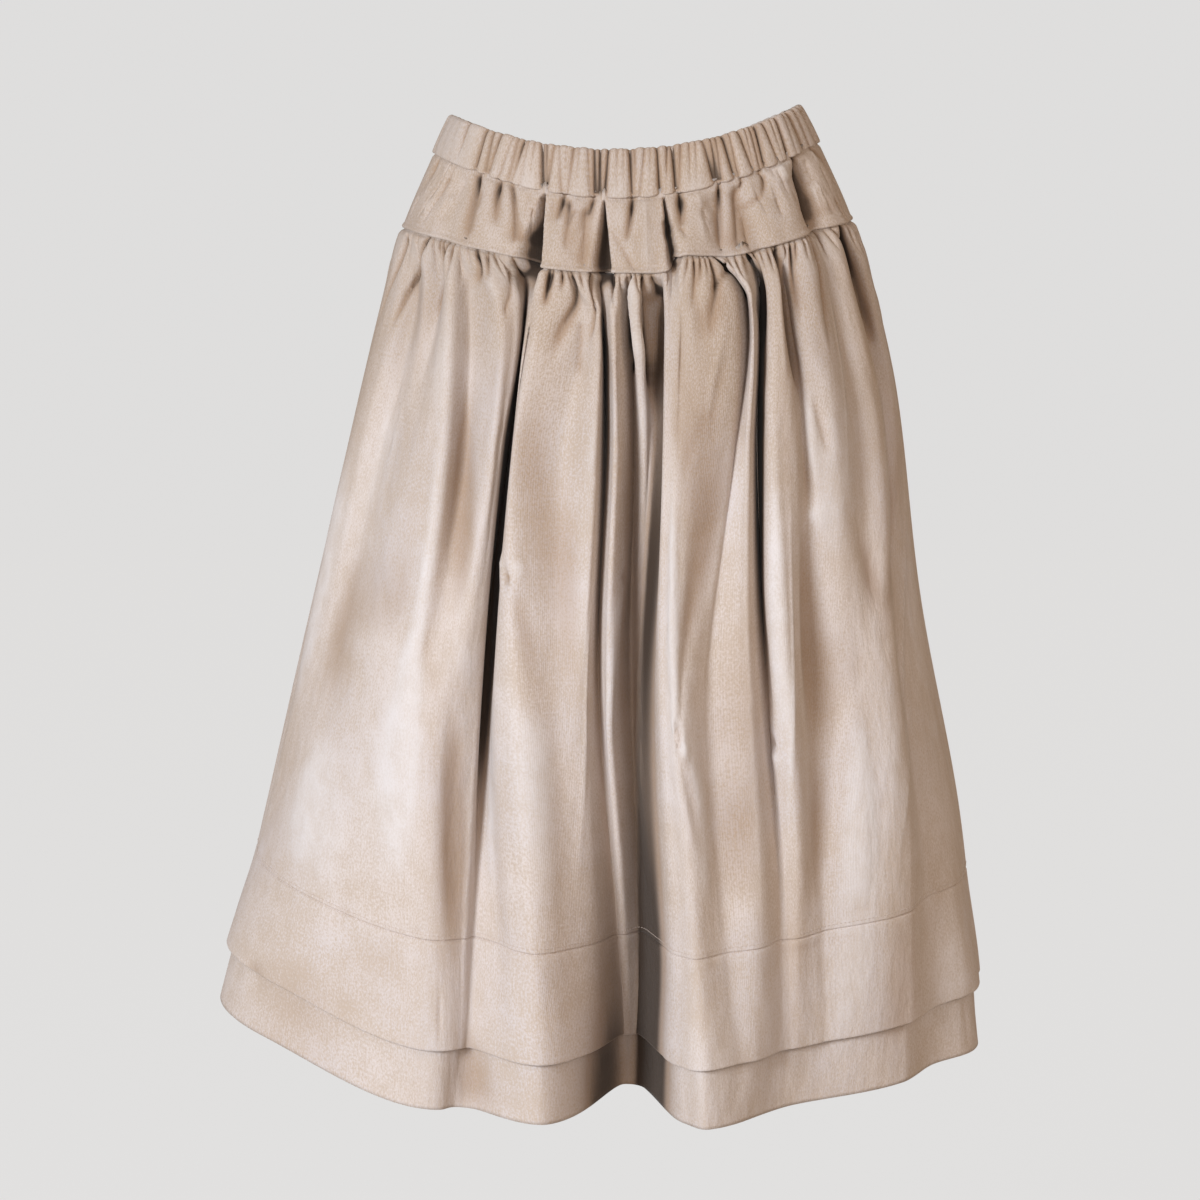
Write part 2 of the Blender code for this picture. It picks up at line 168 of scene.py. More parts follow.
waist = place(np.linspace(0, 360, 361), np.full(361, 0.5 * (WAIST_TOP + BAND_SEAM)), np.zeros(361))
print("round the waist: %.3f m" % run_along(waist)[-1])

# %% [markdown]
# ## Creases
#
# A crease is a soft trough pressed into the cloth. It runs from one place to another in a gentle bow,
# and it has a width and a depth at both ends, so that it can start sharp at a seam and melt away
# further down. A negative depth raises a ridge. One function adds up all the creases of a piece.

# %% One function for every crease
def pressed(across, down, creases, sharp, fade_in, fade_out):
    """Metres out that creases move a surface, negative inwards. A row is a crease: where it starts
    (across, down), where it ends, its bow to the side, its half width at both ends, and its depth in
    millimetres at both ends. Its cross-section is exp(-|x / width|^sharp). It fades in and out over
    shares of its length, from a little before its start to a little after its end."""
    out = np.zeros(np.broadcast(across, down).shape)
    for start, start_down, end, end_down, bow, start_width, end_width, start_mm, end_mm in creases:
        along = (down - start_down) / (end_down - start_down)
        run = np.clip(along, 0, 1)
        middle = start + (end - start) * run + 4 * bow * run * (1 - run)
        width = start_width + (end_width - start_width) * run
        depth = start_mm + (end_mm - start_mm) * run
        ends = ramp(along, -0.1, fade_in) * (1 - ramp(along, 1 - fade_out, 1.08))
        reach = np.abs(across - middle) / width
        out -= 0.001 * depth * ends * np.exp(-reach ** sharp)
    return out


def dented(across, down, dents):
    """Metres out of small round dents: bell curves at (across, down), with half widths across and down
    and a depth in millimetres. A negative depth is a bump."""
    out = np.zeros(np.broadcast(across, down).shape)
    for middle, height, wide, long, depth in dents:
        out -= 0.001 * depth * np.exp(-((across - middle) / wide) ** 2 - ((down - height) / long) ** 2)
    return out


straight = ((0, 0, 0, 100, 0, 5, 5, 3, 3),)
print("a crease 3 mm deep, half-way down:", pressed(np.array([0]), np.array([50]), straight, 2, 0, 0), "m")

# %% [markdown]
# ## The yoke's folds
#
# The yokes are cut almost straight and gathered a little into the band, so they stand in soft upright
# folds. In front three of them are deep wedges, dark in their own shadow and with painted shade. The
# seam below is gathered by hand and steps up and down.

# %% Folds of the yokes
# angle at the band, angle at the yoke seam, half width in degrees, millimetres out at each end
YOKE_FOLDS = np.array((
    (-70, -68, 4, -2, 1), (-56, -54, 4.5, -5, -3), (-42, -44, 4, 2, 1),
    (-14, -19, 3.5, 4, 4), (2, 0, 4, 4, 3), (15, 14, 4.5, 3, 4),
    (25, 24, 3, -6, -3), (34, 35, 3.2, -5, -5), (49, 47, 3.2, 2, 1),
    (60.5, 58, 4.4, -10, -10), (74, 72, 5, 2, 2), (108, 106, 5, -4, -3),
    (124, 122, 4, -6, -6), (140, 140, 4.5, 4, 3), (154, 152, 3.5, -6, -7),
    (168, 166, 3.5, -5, -6), (180, 180, 4.5, 4, 4), (192, 190, 3.5, -6, -8),
    (206, 207, 4, -5, -5), (222, 220, 5, 3, 3), (238, 237, 4, -6, -5),
    (254, 252, 4.5, -3, -4),
))

# The deepest folds are wedges. The cloth sinks slowly on their -X side and comes out in one step on
# the other: angle at band and seam, -X half width at band and seam, +X half width, millimetres out.
YOKE_WEDGES = np.array((
    (-24.6, -22.1, 0.5, 6.2, 0.40, -16, -30),
    (-6.6, -4.2, 0.5, 4.2, 0.40, -13, -22),
    (11, 12.2, 0.8, 2, 0.40, -16, -19),
    (152, 151, 1.2, 3.6, 0.60, -6, -10),
    (191, 189.5, 1.2, 3.8, 0.60, -6, -11),
    (238, 237, 1.2, 3.6, 0.60, -6, -10),
))

# The front yoke seam: angle, millimetres of lift.
FRONT_SEAM_STEPS = np.array((
    (-90, 0), (-42, 3), (-29, 2), (-24, -2), (0, -3), (9.5, -3),
    (12.6, 7), (18, 6), (26, 2), (50, 3), (90, 0),
))


SOFT_FOLD_OPENING = 0.014     # metres below the band over which a soft fold opens
WEDGE_OPENING = 0.005         # and a wedge


def even_angles(share, start, height):
    """Angles that divide half the oval at a height into equal lengths of seam."""
    fine = np.linspace(start, start + 180, 721)
    points = place(fine, np.full_like(fine, height), np.zeros_like(fine))
    run = run_along(points)
    return np.interp(share * run[-1], run, fine)


def yoke_out(angle, height):
    """Metres that the soft folds and the wedges move the yoke: a sum of bell curves round the body,
    whose middles and sizes slide from the band seam to the yoke seam. A wedge's curve has two widths and
    a flatter bottom. All are closed at the band, where the elastic holds them, and open below it."""
    share = np.clip((BAND_SEAM - height) / (BAND_SEAM - YOKE_SEAM), 0, 1)
    down = ramp(share, 0, 1)
    out = np.zeros(np.broadcast(angle, height).shape)
    for top_angle, foot_angle, half_width, top_mm, foot_mm in YOKE_FOLDS:
        turn = turn_from(top_angle + (foot_angle - top_angle) * down, angle)
        size = top_mm + (foot_mm - top_mm) * down
        out = out + 0.001 * size * np.exp(-(turn / half_width) ** 2)
    out = out * ramp(-height, -BAND_SEAM, -BAND_SEAM + SOFT_FOLD_OPENING)
    open_below = ramp(-height, -BAND_SEAM, -BAND_SEAM + WEDGE_OPENING)
    for top_angle, foot_angle, top_width, foot_width, step_width, top_mm, foot_mm in YOKE_WEDGES:
        turn = turn_from(top_angle + (foot_angle - top_angle) * share, angle)
        width = np.where(turn < 0, top_width + (foot_width - top_width) * share, step_width)
        size = top_mm + (foot_mm - top_mm) * down
        out = out + 0.001 * size * open_below * np.exp(-np.abs(turn / width) ** 3)
    return out


def seam_lift(angle, height):
    """Metres that the front yoke seam is lifted; it fades out up the yoke and down the skirt."""
    lift = smooth(np.clip(angle, -90, 90), FRONT_SEAM_STEPS[:, 0], FRONT_SEAM_STEPS[:, 1]) * 0.001
    above = ramp(-height, -BAND_SEAM, -YOKE_SEAM)
    below = 1 - ramp(-height, -YOKE_SEAM, 0.150)
    return lift * above * below


print("yoke folds:", len(YOKE_FOLDS), "and wedges:", len(YOKE_WEDGES))

# %% [markdown]
# ## The skirt's big folds
#
# A fold is followed down the cloth: its place across the cloth stays, while its angle and its distance
# from the figure change with height. Where the angles of neighbours swap over, one fold laps the next,
# as a full skirt does. GONE marks where a fold has melted into its neighbours.

# %% Folds of the skirt panels
FOLD_HEIGHTS = (-0.092, -0.210, -0.405, HEM)
GONE = None
FRONT_FOLDS = (
    (0.000, (-90, 0), (-90, 0), (-90, 0), (-90, 0)),
    (0.060, (-68, 3), (-69, 4), GONE, GONE),
    (0.095, (-62, -4), (-62, -7), (-62, 4), GONE),
    (0.125, (-56, 2), GONE, GONE, GONE),
    (0.145, (-52, -6), GONE, GONE, GONE),
    (0.186, (-45.5, 6), (-39.5, 13), (-36, 29), (-28, 42)),
    (0.213, (-42, -8), (-36.6, -9), GONE, GONE),
    (0.240, (-32, 6), (-28.8, 9), GONE, GONE),
    (0.262, (-28.2, 1), (-26.6, 5), GONE, GONE),
    (0.278, (-26.9, -5), (-26.5, -2), (-25.4, 2), GONE),
    (0.315, (-30, -42), (-31, -52), (-26.4, -23), (-18.5, 21)),
    (0.345, (-25.4, -14), (-25, -17), (-22.9, -16), GONE),
    (0.361, (-23, 0), (-23.8, 4), (-20.5, 11), GONE),
    (0.373, (-20, 5), (-22.4, 10), (-16.5, 26), (-7, 42)),
    (0.398, (-11, -5), (-14, -10), (-10.5, 6), GONE),
    (0.416, (-7.8, 2), (-7.4, 5), (-6.2, 0), GONE),
    (0.431, (-6.7, -3), (-6.1, -1), (-5, -6), GONE),
    (0.446, (-7, -34), (-5.2, -40), (-3.4, -22), (2.8, -76)),
    (0.461, (-5.2, -7), (-3.1, -6), (-2.2, -14), GONE),
    (0.474, (-3.2, 5), (-2, 1), (-1, -11), (5, -86)),
    (0.494, (0.6, -24), (1.6, -40), (2.6, -46), (7.2, -76)),
    (0.512, (1.9, 2), (3.6, -22), GONE, GONE),
    (0.532, (4.6, -17), (5.1, -25), (5.2, -31), GONE),
    (0.549, (10.4, -27), (8.8, -24), (6.9, -12), GONE),
    (0.558, (8.7, 0), (7.2, 7), (7.3, 18), (10, 13)),
    (0.566, (9.5, 4), (8.1, 12), (8.3, 25), (10.9, 28)),
    (0.600, (16, 8), (12.7, 16), (10.5, 29), (14, 50)),
    (0.627, (24.9, 4), (21, 4), (14.5, 13), GONE),
    (0.640, (32.2, -22), (22.9, -4), (16.5, 9), GONE),
    (0.655, (29.1, 5), (24.4, 5), (22, 14), GONE),
    (0.671, (29.9, 4), (26, 2), (24.2, 12), GONE),
    (0.691, (39.6, -36), (34, -44), (28.6, -10), GONE),
    (0.708, (34.3, -2), (29.3, 1), (28.6, 4), GONE),
    (0.721, (35.9, 7), (31.6, 11), (30.6, 14), (29, 4)),
    (0.742, (38, 6), (35.8, 9), (34, 5), GONE),
    (0.757, (42.2, -9), (39.4, -2), (37.5, -5), GONE),
    (0.771, (42, -1), (42.4, 2), GONE, GONE),
    (0.790, (48, 5), (47.3, 6), (47, 4), GONE),
    (0.830, (56.5, -3), (57.5, -4), GONE, GONE),
    (0.862, (62.5, 4), (64, 4), (57, 11), (50.5, 5)),
    (0.878, (66.4, 0), (69.5, 1), GONE, GONE),
    (0.897, (71.5, -14), (75, -7), (66, -6), (62, -8)),
    (0.930, (76.5, 3), (79, 3), GONE, (74, 4)),
    (1.000, (90, 0), (90, 0), (90, 0), (90, 0)),
)
BACK_FOLDS = (
    (0.000, (90, 0), (90, 0), (90, 0), (90, 0)),
    (0.045, (98, 4), (98, 5), (100, 6), (101, 6)),
    (0.085, (106, -5), (106, -8), (109, -8), (112, -12)),
    (0.125, (115, 4), (114, 5), GONE, GONE),
    (0.165, (122, -8), (121, -12), (122, -4), GONE),
    (0.205, (130, 5), (131, 8), (131, 14), (130, 22)),
    (0.250, (138, -13), (140, -20), (141, -22), (143, -22)),
    (0.290, (145, 4), (146, 7), (149, 6), GONE),
    (0.325, (150, -9), (152, -11), GONE, GONE),
    (0.365, (157, 5), (158, 7), (158, 18), (156, 30)),
    (0.405, (163, -17), (165, -25), (165, -24), (166, -24)),
    (0.445, (169, 4), (170, 4), GONE, GONE),
    (0.475, (175, -10), (175, -15), (174, -12), GONE),
    (0.515, (181, 5), (180, 8), (181, 18), (179, 32)),
    (0.560, (188, -18), (188, -28), (189, -30), (190, -32)),
    (0.600, (194, 5), (194, 6), (197, 6), GONE),
    (0.630, (200, -8), (201, -10), GONE, GONE),
    (0.665, (206, 4), (206, 7), (205, 18), (204, 28)),
    (0.710, (214, -14), (215, -22), (216, -20), (217, -22)),
    (0.750, (222, 5), (222, 7), (224, 8), GONE),
    (0.795, (230, -8), (231, -11), (231, -4), GONE),
    (0.840, (238, 4), (239, 6), (240, 12), (239, 16)),
    (0.885, (247, -7), (248, -10), (250, -8), (251, -10)),
    (0.940, (258, 4), (258, 5), (260, 6), (260, 6)),
    (1.000, (270, 0), (270, 0), (270, 0), (270, 0)),
)
FOLDS = {"front": FRONT_FOLDS, "back": BACK_FOLDS}
BINS_A_DEGREE = 10


def sheltered(angle, out, reach):
    """Metres that each point lies behind the outermost cloth within so many degrees. The points of a
    row go into narrow bins, a running maximum over the bins gives the outermost cloth, and a running
    mean smooths it."""
    rows = np.broadcast_to(np.arange(len(angle))[:, None], angle.shape)
    bins = np.floor((angle - angle.min()) * BINS_A_DEGREE).astype(int)
    wide = bins.max() + 1
    outermost = np.full((len(angle), wide), -1.0)
    np.maximum.at(outermost, (rows, bins), out)
    near = int(BINS_A_DEGREE * reach)
    padded = np.pad(outermost, ((0, 0), (2 * near, 2 * near)), mode="edge")
    highest = padded[:, :wide + 2 * near].copy()
    for shift in range(1, 2 * near + 1):
        np.maximum(highest, padded[:, shift:shift + wide + 2 * near], out=highest)
    total = np.cumsum(np.pad(highest, ((0, 0), (1, 0))), axis=1)
    mean = (total[:, 2 * near + 1:] - total[:, :wide]) / (2 * near + 1)
    return mean[rows, bins] - out


def hidden_depth(angle, out):
    """How far into a fold a point lies, from 0 to 2: up to 0.5 for lying behind the cloth within six
    degrees, and up to 1.5 more for a narrow slit, whose two sides are within one and a half."""
    wide = ramp(sheltered(angle, out, 6.0), 0.008, 0.075)
    narrow = ramp(sheltered(angle, out, 1.5), 0.006, 0.030)
    return 0.5 * wide + 1.5 * narrow


def draped(cloth, height, folds):
    """Middle of a skirt panel before its creases, with its angles and distances out. At each fold height
    a smooth curve runs through the crests and troughs that still stand there; between those heights the
    curves change smoothly."""
    start = folds[0][1][0]
    seam_angles = even_angles(cloth, start, YOKE_SEAM)
    angles = [seam_angles]
    outs = [1000 * yoke_out(seam_angles, np.full_like(seam_angles, YOKE_SEAM))]
    for level in range(len(FOLD_HEIGHTS)):
        rows = [(fold[0],) + fold[level + 1] for fold in folds if fold[level + 1] is not GONE]
        knots, angle, out = np.array(rows, float).T
        angles.append(smooth(cloth, knots, angle))
        outs.append(smooth(cloth, knots, out))
    levels = -np.array((YOKE_SEAM,) + FOLD_HEIGHTS)
    angle = smooth(-height, levels, np.array(angles))
    out = smooth(-height, levels, np.array(outs)) * 0.001
    height = np.broadcast_to(height[:, None], angle.shape)
    points = place(angle, height, out)
    if folds is FRONT_FOLDS:
        points[..., 2] += seam_lift(angle, height)
    return points, angle, out


print("folds in front and behind:", len(FRONT_FOLDS), len(BACK_FOLDS))

# %% [markdown]
# ## From grids to cloth with two faces
#
# A bare surface has no thickness, and a hem shows its edge. So each piece gets an outer skin, an inner
# skin and a rim round both. Solidify could make the second skin, but it would be as fine as the first.
# Made here, the outer skin is finest under a gathered seam, and the skin that lies inside is coarse.

# %% Outward directions, strips of faces and shells
SHARPEST_TURN = 0.6           # cosine of half the sharpest turn at which a wall keeps its thickness


def directions(points, axis):
    """Unit directions along one axis of a grid, each midway between the steps on its two sides, and
    the cosine of half the turn between those steps."""
    step = np.diff(points, axis=axis)
    step /= np.maximum(np.linalg.norm(step, axis=-1, keepdims=True), 1e-12)
    first = np.take(step, [0], axis=axis)
    last = np.take(step, [-1], axis=axis)
    total = np.concatenate((first, step), axis=axis) + np.concatenate((step, last), axis=axis)
    length = np.linalg.norm(total, axis=-1, keepdims=True)
    return total / length, length / 2


def outward_steps(points):
    """Outward normals of a grid whose rows run down: the cross product of down and across, lengthened
    where the cloth turns sharply. The side columns point straight across the body."""
    across, cosine = directions(points, 1)
    down, _ = directions(points, 0)
    cross = np.cross(down, across)
    outward = cross / np.linalg.norm(cross, axis=-1, keepdims=True)
    outward /= np.maximum(cosine, SHARPEST_TURN)
    for side in (0, -1):
        outward[:, side, 1] = 0
        outward[:, side] /= np.linalg.norm(outward[:, side], axis=-1, keepdims=True)
    return outward


def strip(fine, coarse):
    """Faces between two rows of point numbers, the first above the second. Equal rows give quads.
    Otherwise the first row has more steps: each gives a triangle down to the nearest point of the
    second row, and each step of the second row gives one up to the first."""
    many = len(fine) - 1
    few = len(coarse) - 1
    if many == few:
        return np.stack((fine[:-1], coarse[:-1], coarse[1:], fine[1:]), axis=1).tolist()
    nearest = np.floor((np.arange(many) + 0.5) * few / many + 0.4999).astype(int)    # a tie goes down
    narrow = np.stack((fine[:-1], coarse[nearest], fine[1:]), axis=1)
    change = np.flatnonzero(np.diff(nearest)) + 1
    wide = np.stack((fine[change], coarse[nearest[change - 1]], coarse[nearest[change]]), axis=1)
    faces = narrow.tolist() + wide.tolist()
    if nearest[-1] < few:
        faces.append([int(fine[-1]), int(coarse[-2]), int(coarse[-1])])
    return faces


def turned(faces):
    """The same faces, looking the other way."""
    return [face[::-1] for face in faces]


def shell(outer, inner):
    """Points and faces of a closed wall between an outer and an inner skin. Both are lists of rows of
    points that run down, and the outer one has at least as many rows and points as the inner one."""
    numbers = []
    total = 0
    for row in outer + inner:
        numbers.append(np.arange(total, total + len(row)))
        total += len(row)
    outside = numbers[:len(outer)]
    inside = numbers[len(outer):]
    faces = []
    for upper, lower in zip(outside, outside[1:]):
        faces += strip(upper, lower)
    for upper, lower in zip(inside, inside[1:]):
        faces += turned(strip(upper, lower))
    faces += turned(strip(outside[0], inside[0]))
    faces += strip(outside[-1], inside[-1])
    faces += strip(np.array([row[0] for row in outside]), np.array([row[0] for row in inside]))
    faces += turned(strip(np.array([row[-1] for row in outside]), np.array([row[-1] for row in inside])))
    return np.concatenate(outer + inner), faces


print("a strip of 4 steps over 2:", len(strip(np.arange(5), np.arange(5, 8))), "faces")

# %% [markdown]
# ## Shader maths as formulas
#
# The cloth's pattern is a formula of a place on the flat cloth. A Math node for each plus and times
# would be slow to write and hard to read, so a small class wraps a socket, and sums on it add the nodes.

# %% A socket that can be added and multiplied
class Wire:
    """A socket of a material. Arithmetic on it adds Math nodes and gives a new Wire."""

    def __init__(self, tree, socket):
        self.tree = tree
        self.socket = socket

    def node(self, kind, settings, values, output=0):
        """Any other node: its settings come first, then its sockets get numbers or links."""
        made = self.tree.nodes.new(kind)
        for name, value in settings.items():
            setattr(made, name, value)
        for name, value in values.items():
            if isinstance(value, Wire):
                self.tree.links.new(value.socket, made.inputs[name])
            else:
                made.inputs[name].default_value = value
        return Wire(self.tree, made.outputs[output])

    def maths(self, operation, *others):
        """A Math node on this socket and up to two more numbers or sockets."""
        values = dict(enumerate((self,) + others))
        return self.node("ShaderNodeMath", {"operation": operation}, values)

    def __add__(self, other):
        return self.maths("ADD", other)

    __radd__ = __add__

    def __sub__(self, other):
        return self.maths("SUBTRACT", other)

    def __rsub__(self, other):
        return (self * -1) + other

    def __mul__(self, other):
        return self.maths("MULTIPLY", other)

    __rmul__ = __mul__

    def between(self, low, high):
        """0 below low, 1 above high, eased between."""
        values = {"Value": self, "From Min": low, "From Max": high}
        return self.node("ShaderNodeMapRange", {"interpolation_type": "SMOOTHSTEP"}, values)

    def noise(self, across, down, detail):
        """Noise on the flat cloth with so many lumps a metre across and down it."""
        scaled = self.node("ShaderNodeVectorMath", {"operation": "MULTIPLY"},
                           {0: self, 1: (across, down, 1.0)})
        return self.node("ShaderNodeTexNoise", {"noise_dimensions": "2D"},
                         {"Vector": scaled, "Scale": 1.0, "Detail": detail, "Roughness": 0.55})

    def blend(self, first, second, kind="MIX"):
        """A colour between two others, which this number chooses, or their product."""
        mix = self.tree.nodes.new("ShaderNodeMix")
        mix.data_type = "RGBA"
        mix.blend_type = kind
        self.tree.links.new(self.socket, mix.inputs[0])
        for number, colour in ((6, first), (7, second)):
            if isinstance(colour, Wire):
                self.tree.links.new(colour.socket, mix.inputs[number])
            else:
                mix.inputs[number].default_value = colour
        return Wire(self.tree, mix.outputs[2])


# %% [markdown]
# ## Needlecord
#
# Needlecord is a fine corduroy. Its pile stands in ridges, the wales, a little over a millimetre
# apart, which run down every piece. They are far too fine to model, so they are bump. The
# nap is brushed unevenly by hands and by the iron, which leaves pale and dark clouds and long faint
# streaks. The bottom of a crease is painted dark brown as shade, and a crest is painted paler as a
# highlight. The cloth is painted a little darker towards the waist, as shade. Deep in a narrow fold the
# colour goes on to almost black: painted shade where no light comes back.
# The pattern reads the piece's own flat cloth in metres, so that the wales follow the folds.

# %% The needlecord material
WALE = 0.0013                 # metres from one ridge of pile to the next
PALE_NAP = (0.668, 0.592, 0.556, 1.0)
BROWN_NAP = (0.540, 0.440, 0.360, 1.0)
COOL_NAP = (0.635, 0.573, 0.558, 1.0)
# Painted shade in the bottom of creases.
CREASE_SHADE = (0.318, 0.198, 0.116, 1.0)
# Painted shade, almost black, deep in narrow folds.
DEEP_FOLD_SHADE = (0.030, 0.017, 0.010, 1.0)
# Painted highlight on crests.
CREST_HIGHLIGHT = (0.745, 0.710, 0.705, 1.0)
# Painted shade towards the waist, multiplied in.
WAIST_SHADE = (0.825, 0.785, 0.735, 1.0)


def needlecord(name):
    """Matt, beige needlecord: wales and fibres as bump, clouds and streaks as colour, painted shade in
    creases, deep folds and towards the waist, and painted highlight on crests.
    The noises are given in lumps a metre across and down the cloth."""
    made = bpy.data.materials.new(name)
    made.use_nodes = True
    tree = made.node_tree
    shader = tree.nodes["Principled BSDF"]
    start = Wire(tree, None)
    flat = start.node("ShaderNodeUVMap", {"uv_map": "cloth"}, {})
    across = start.node("ShaderNodeSeparateXYZ", {}, {"Vector": flat})
    down = start.node("ShaderNodeSeparateXYZ", {}, {"Vector": flat}, output=1)
    fold = start.node("ShaderNodeAttribute", {"attribute_name": "fold"}, {}, output=2)

    wander = flat.noise(9, 3, 1.0)
    wale = ((across + 0.0004 * wander) * (2 * math.pi / WALE)).maths("SINE") * 0.5 + 0.5
    fibres = flat.noise(2600, 900, 2.0)
    specks = flat.noise(820, 460, 3.0)
    streaks = flat.noise(620, 60, 3.0)
    clouds = flat.noise(15, 10, 4.0)
    patches = flat.noise(60, 44, 3.0)
    tints = flat.noise(9, 7, 2.0)

    nap = 0.5 + 0.9 * (clouds - 0.5) + 0.5 * (streaks - 0.5) + 0.5 * (patches - 0.5)
    # Painted shade: the cloth darkens towards the waist; the same share makes the specks coarser there.
    waist_shade = (down + 0.10 * (clouds - 0.5)).between(0.30, 0.07)
    rough = 1.0 + 0.6 * waist_shade
    nap = nap + rough * (1.6 * (specks - 0.5) + 0.6 * (fibres - 0.5)) + 0.08 * (wale - 0.5)
    pale = tints.between(0.35, 0.65).blend(PALE_NAP, COOL_NAP)
    colour = nap.between(0.05, 0.95).blend(BROWN_NAP, pale)
    # Painted highlight on crests and painted shade in creases and deep folds, read from the fold number.
    crest_highlight = fold.between(0.05, 0.8) * (0.25 + 0.5 * patches)
    crease_shade = fold.between(0.0, -1.0) * 0.62
    deep_shade = fold.between(-0.9, -2.0) * 0.94
    colour = crest_highlight.blend(colour, CREST_HIGHLIGHT)
    colour = waist_shade.blend(colour, WAIST_SHADE, "MULTIPLY")
    colour = crease_shade.blend(colour, CREASE_SHADE)
    colour = deep_shade.blend(colour, DEEP_FOLD_SHADE)

    roughness = 0.90 + 0.08 * (fibres - 0.5) - 0.06 * (clouds - 0.5)
    soft = patches.node("ShaderNodeBump", {}, {"Height": patches + 0.5 * clouds, "Strength": 0.5,
                                               "Distance": 0.0022})
    pile = wale.node("ShaderNodeBump", {}, {"Height": 0.7 * wale + 1.3 * fibres, "Strength": 0.5,
                                            "Distance": 0.00022, "Normal": soft})
    for name, wire in {"Base Color": colour, "Roughness": roughness, "Normal": pile}.items():
        tree.links.new(wire.socket, shader.inputs[name])
    same_all_over = {"Metallic": 0.0, "Specular IOR Level": 0.25, "Sheen Weight": 0.12,
                     "Sheen Roughness": 0.5, "Sheen Tint": (1.0, 0.96, 0.92, 1.0)}
    for name, value in same_all_over.items():
        shader.inputs[name].default_value = value
    return made


NEEDLECORD = needlecord("needlecord")
print("material:", NEEDLECORD.name)

# %% [markdown]
# ## Adding a piece
#
# Every piece is put in the same way: its points and faces, where each point lies on the flat cloth, and
# a fold number, mostly from how far a crease presses it in or a crest lifts it and how deep it lies in
# a fold, which the material turns into painted shade and painted highlight.

# %% Add a piece of cloth
def add_piece(name, points, faces, flat, fold, stands_for=None):
    """A smooth mesh that rides on the body and stands for CAD nodes. flat is in metres on the cloth,
    for each point or for each corner of a face; fold is the number for painted light, from -2, painted
    shade deep in a fold, by -1, painted shade in a crease, to 1, painted highlight on a crest."""
    mesh = bpy.data.meshes.new(name)
    mesh.from_pydata(points.tolist(), [], faces)
    corners = np.empty(len(mesh.loops), np.int32)
    mesh.loops.foreach_get("vertex_index", corners)
    places = flat[corners] if len(flat) == len(points) else flat
    layer = mesh.uv_layers.new(name="cloth")
    layer.data.foreach_set("uv", places.astype(np.float32).ravel())
    attribute = mesh.attributes.new("fold", "FLOAT", "POINT")
    attribute.data.foreach_set("value", fold.astype(np.float32))
    mesh.materials.append(NEEDLECORD)
    mesh.shade_smooth()
    piece = add_object(name, mesh)
    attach(piece, "root")
    if stands_for:
        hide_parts(stands_for)
    mesh.calc_loop_triangles()
    print(name, "has", len(mesh.loop_triangles), "triangles")
    return piece


# %% [markdown]
# ## Where the gathers fall
#
# Gathering thread is pulled up by hand, so no two gathers are alike. In front each one is placed: some
# are ticks as long as a fingernail, some run on down the skirt as a crease. The back has the same
# kinds, spread by a seeded random generator. Distances are millimetres on the flat cloth, measured
# from the -X side seam of the front, or the +X side seam of the back, and down from the waist.

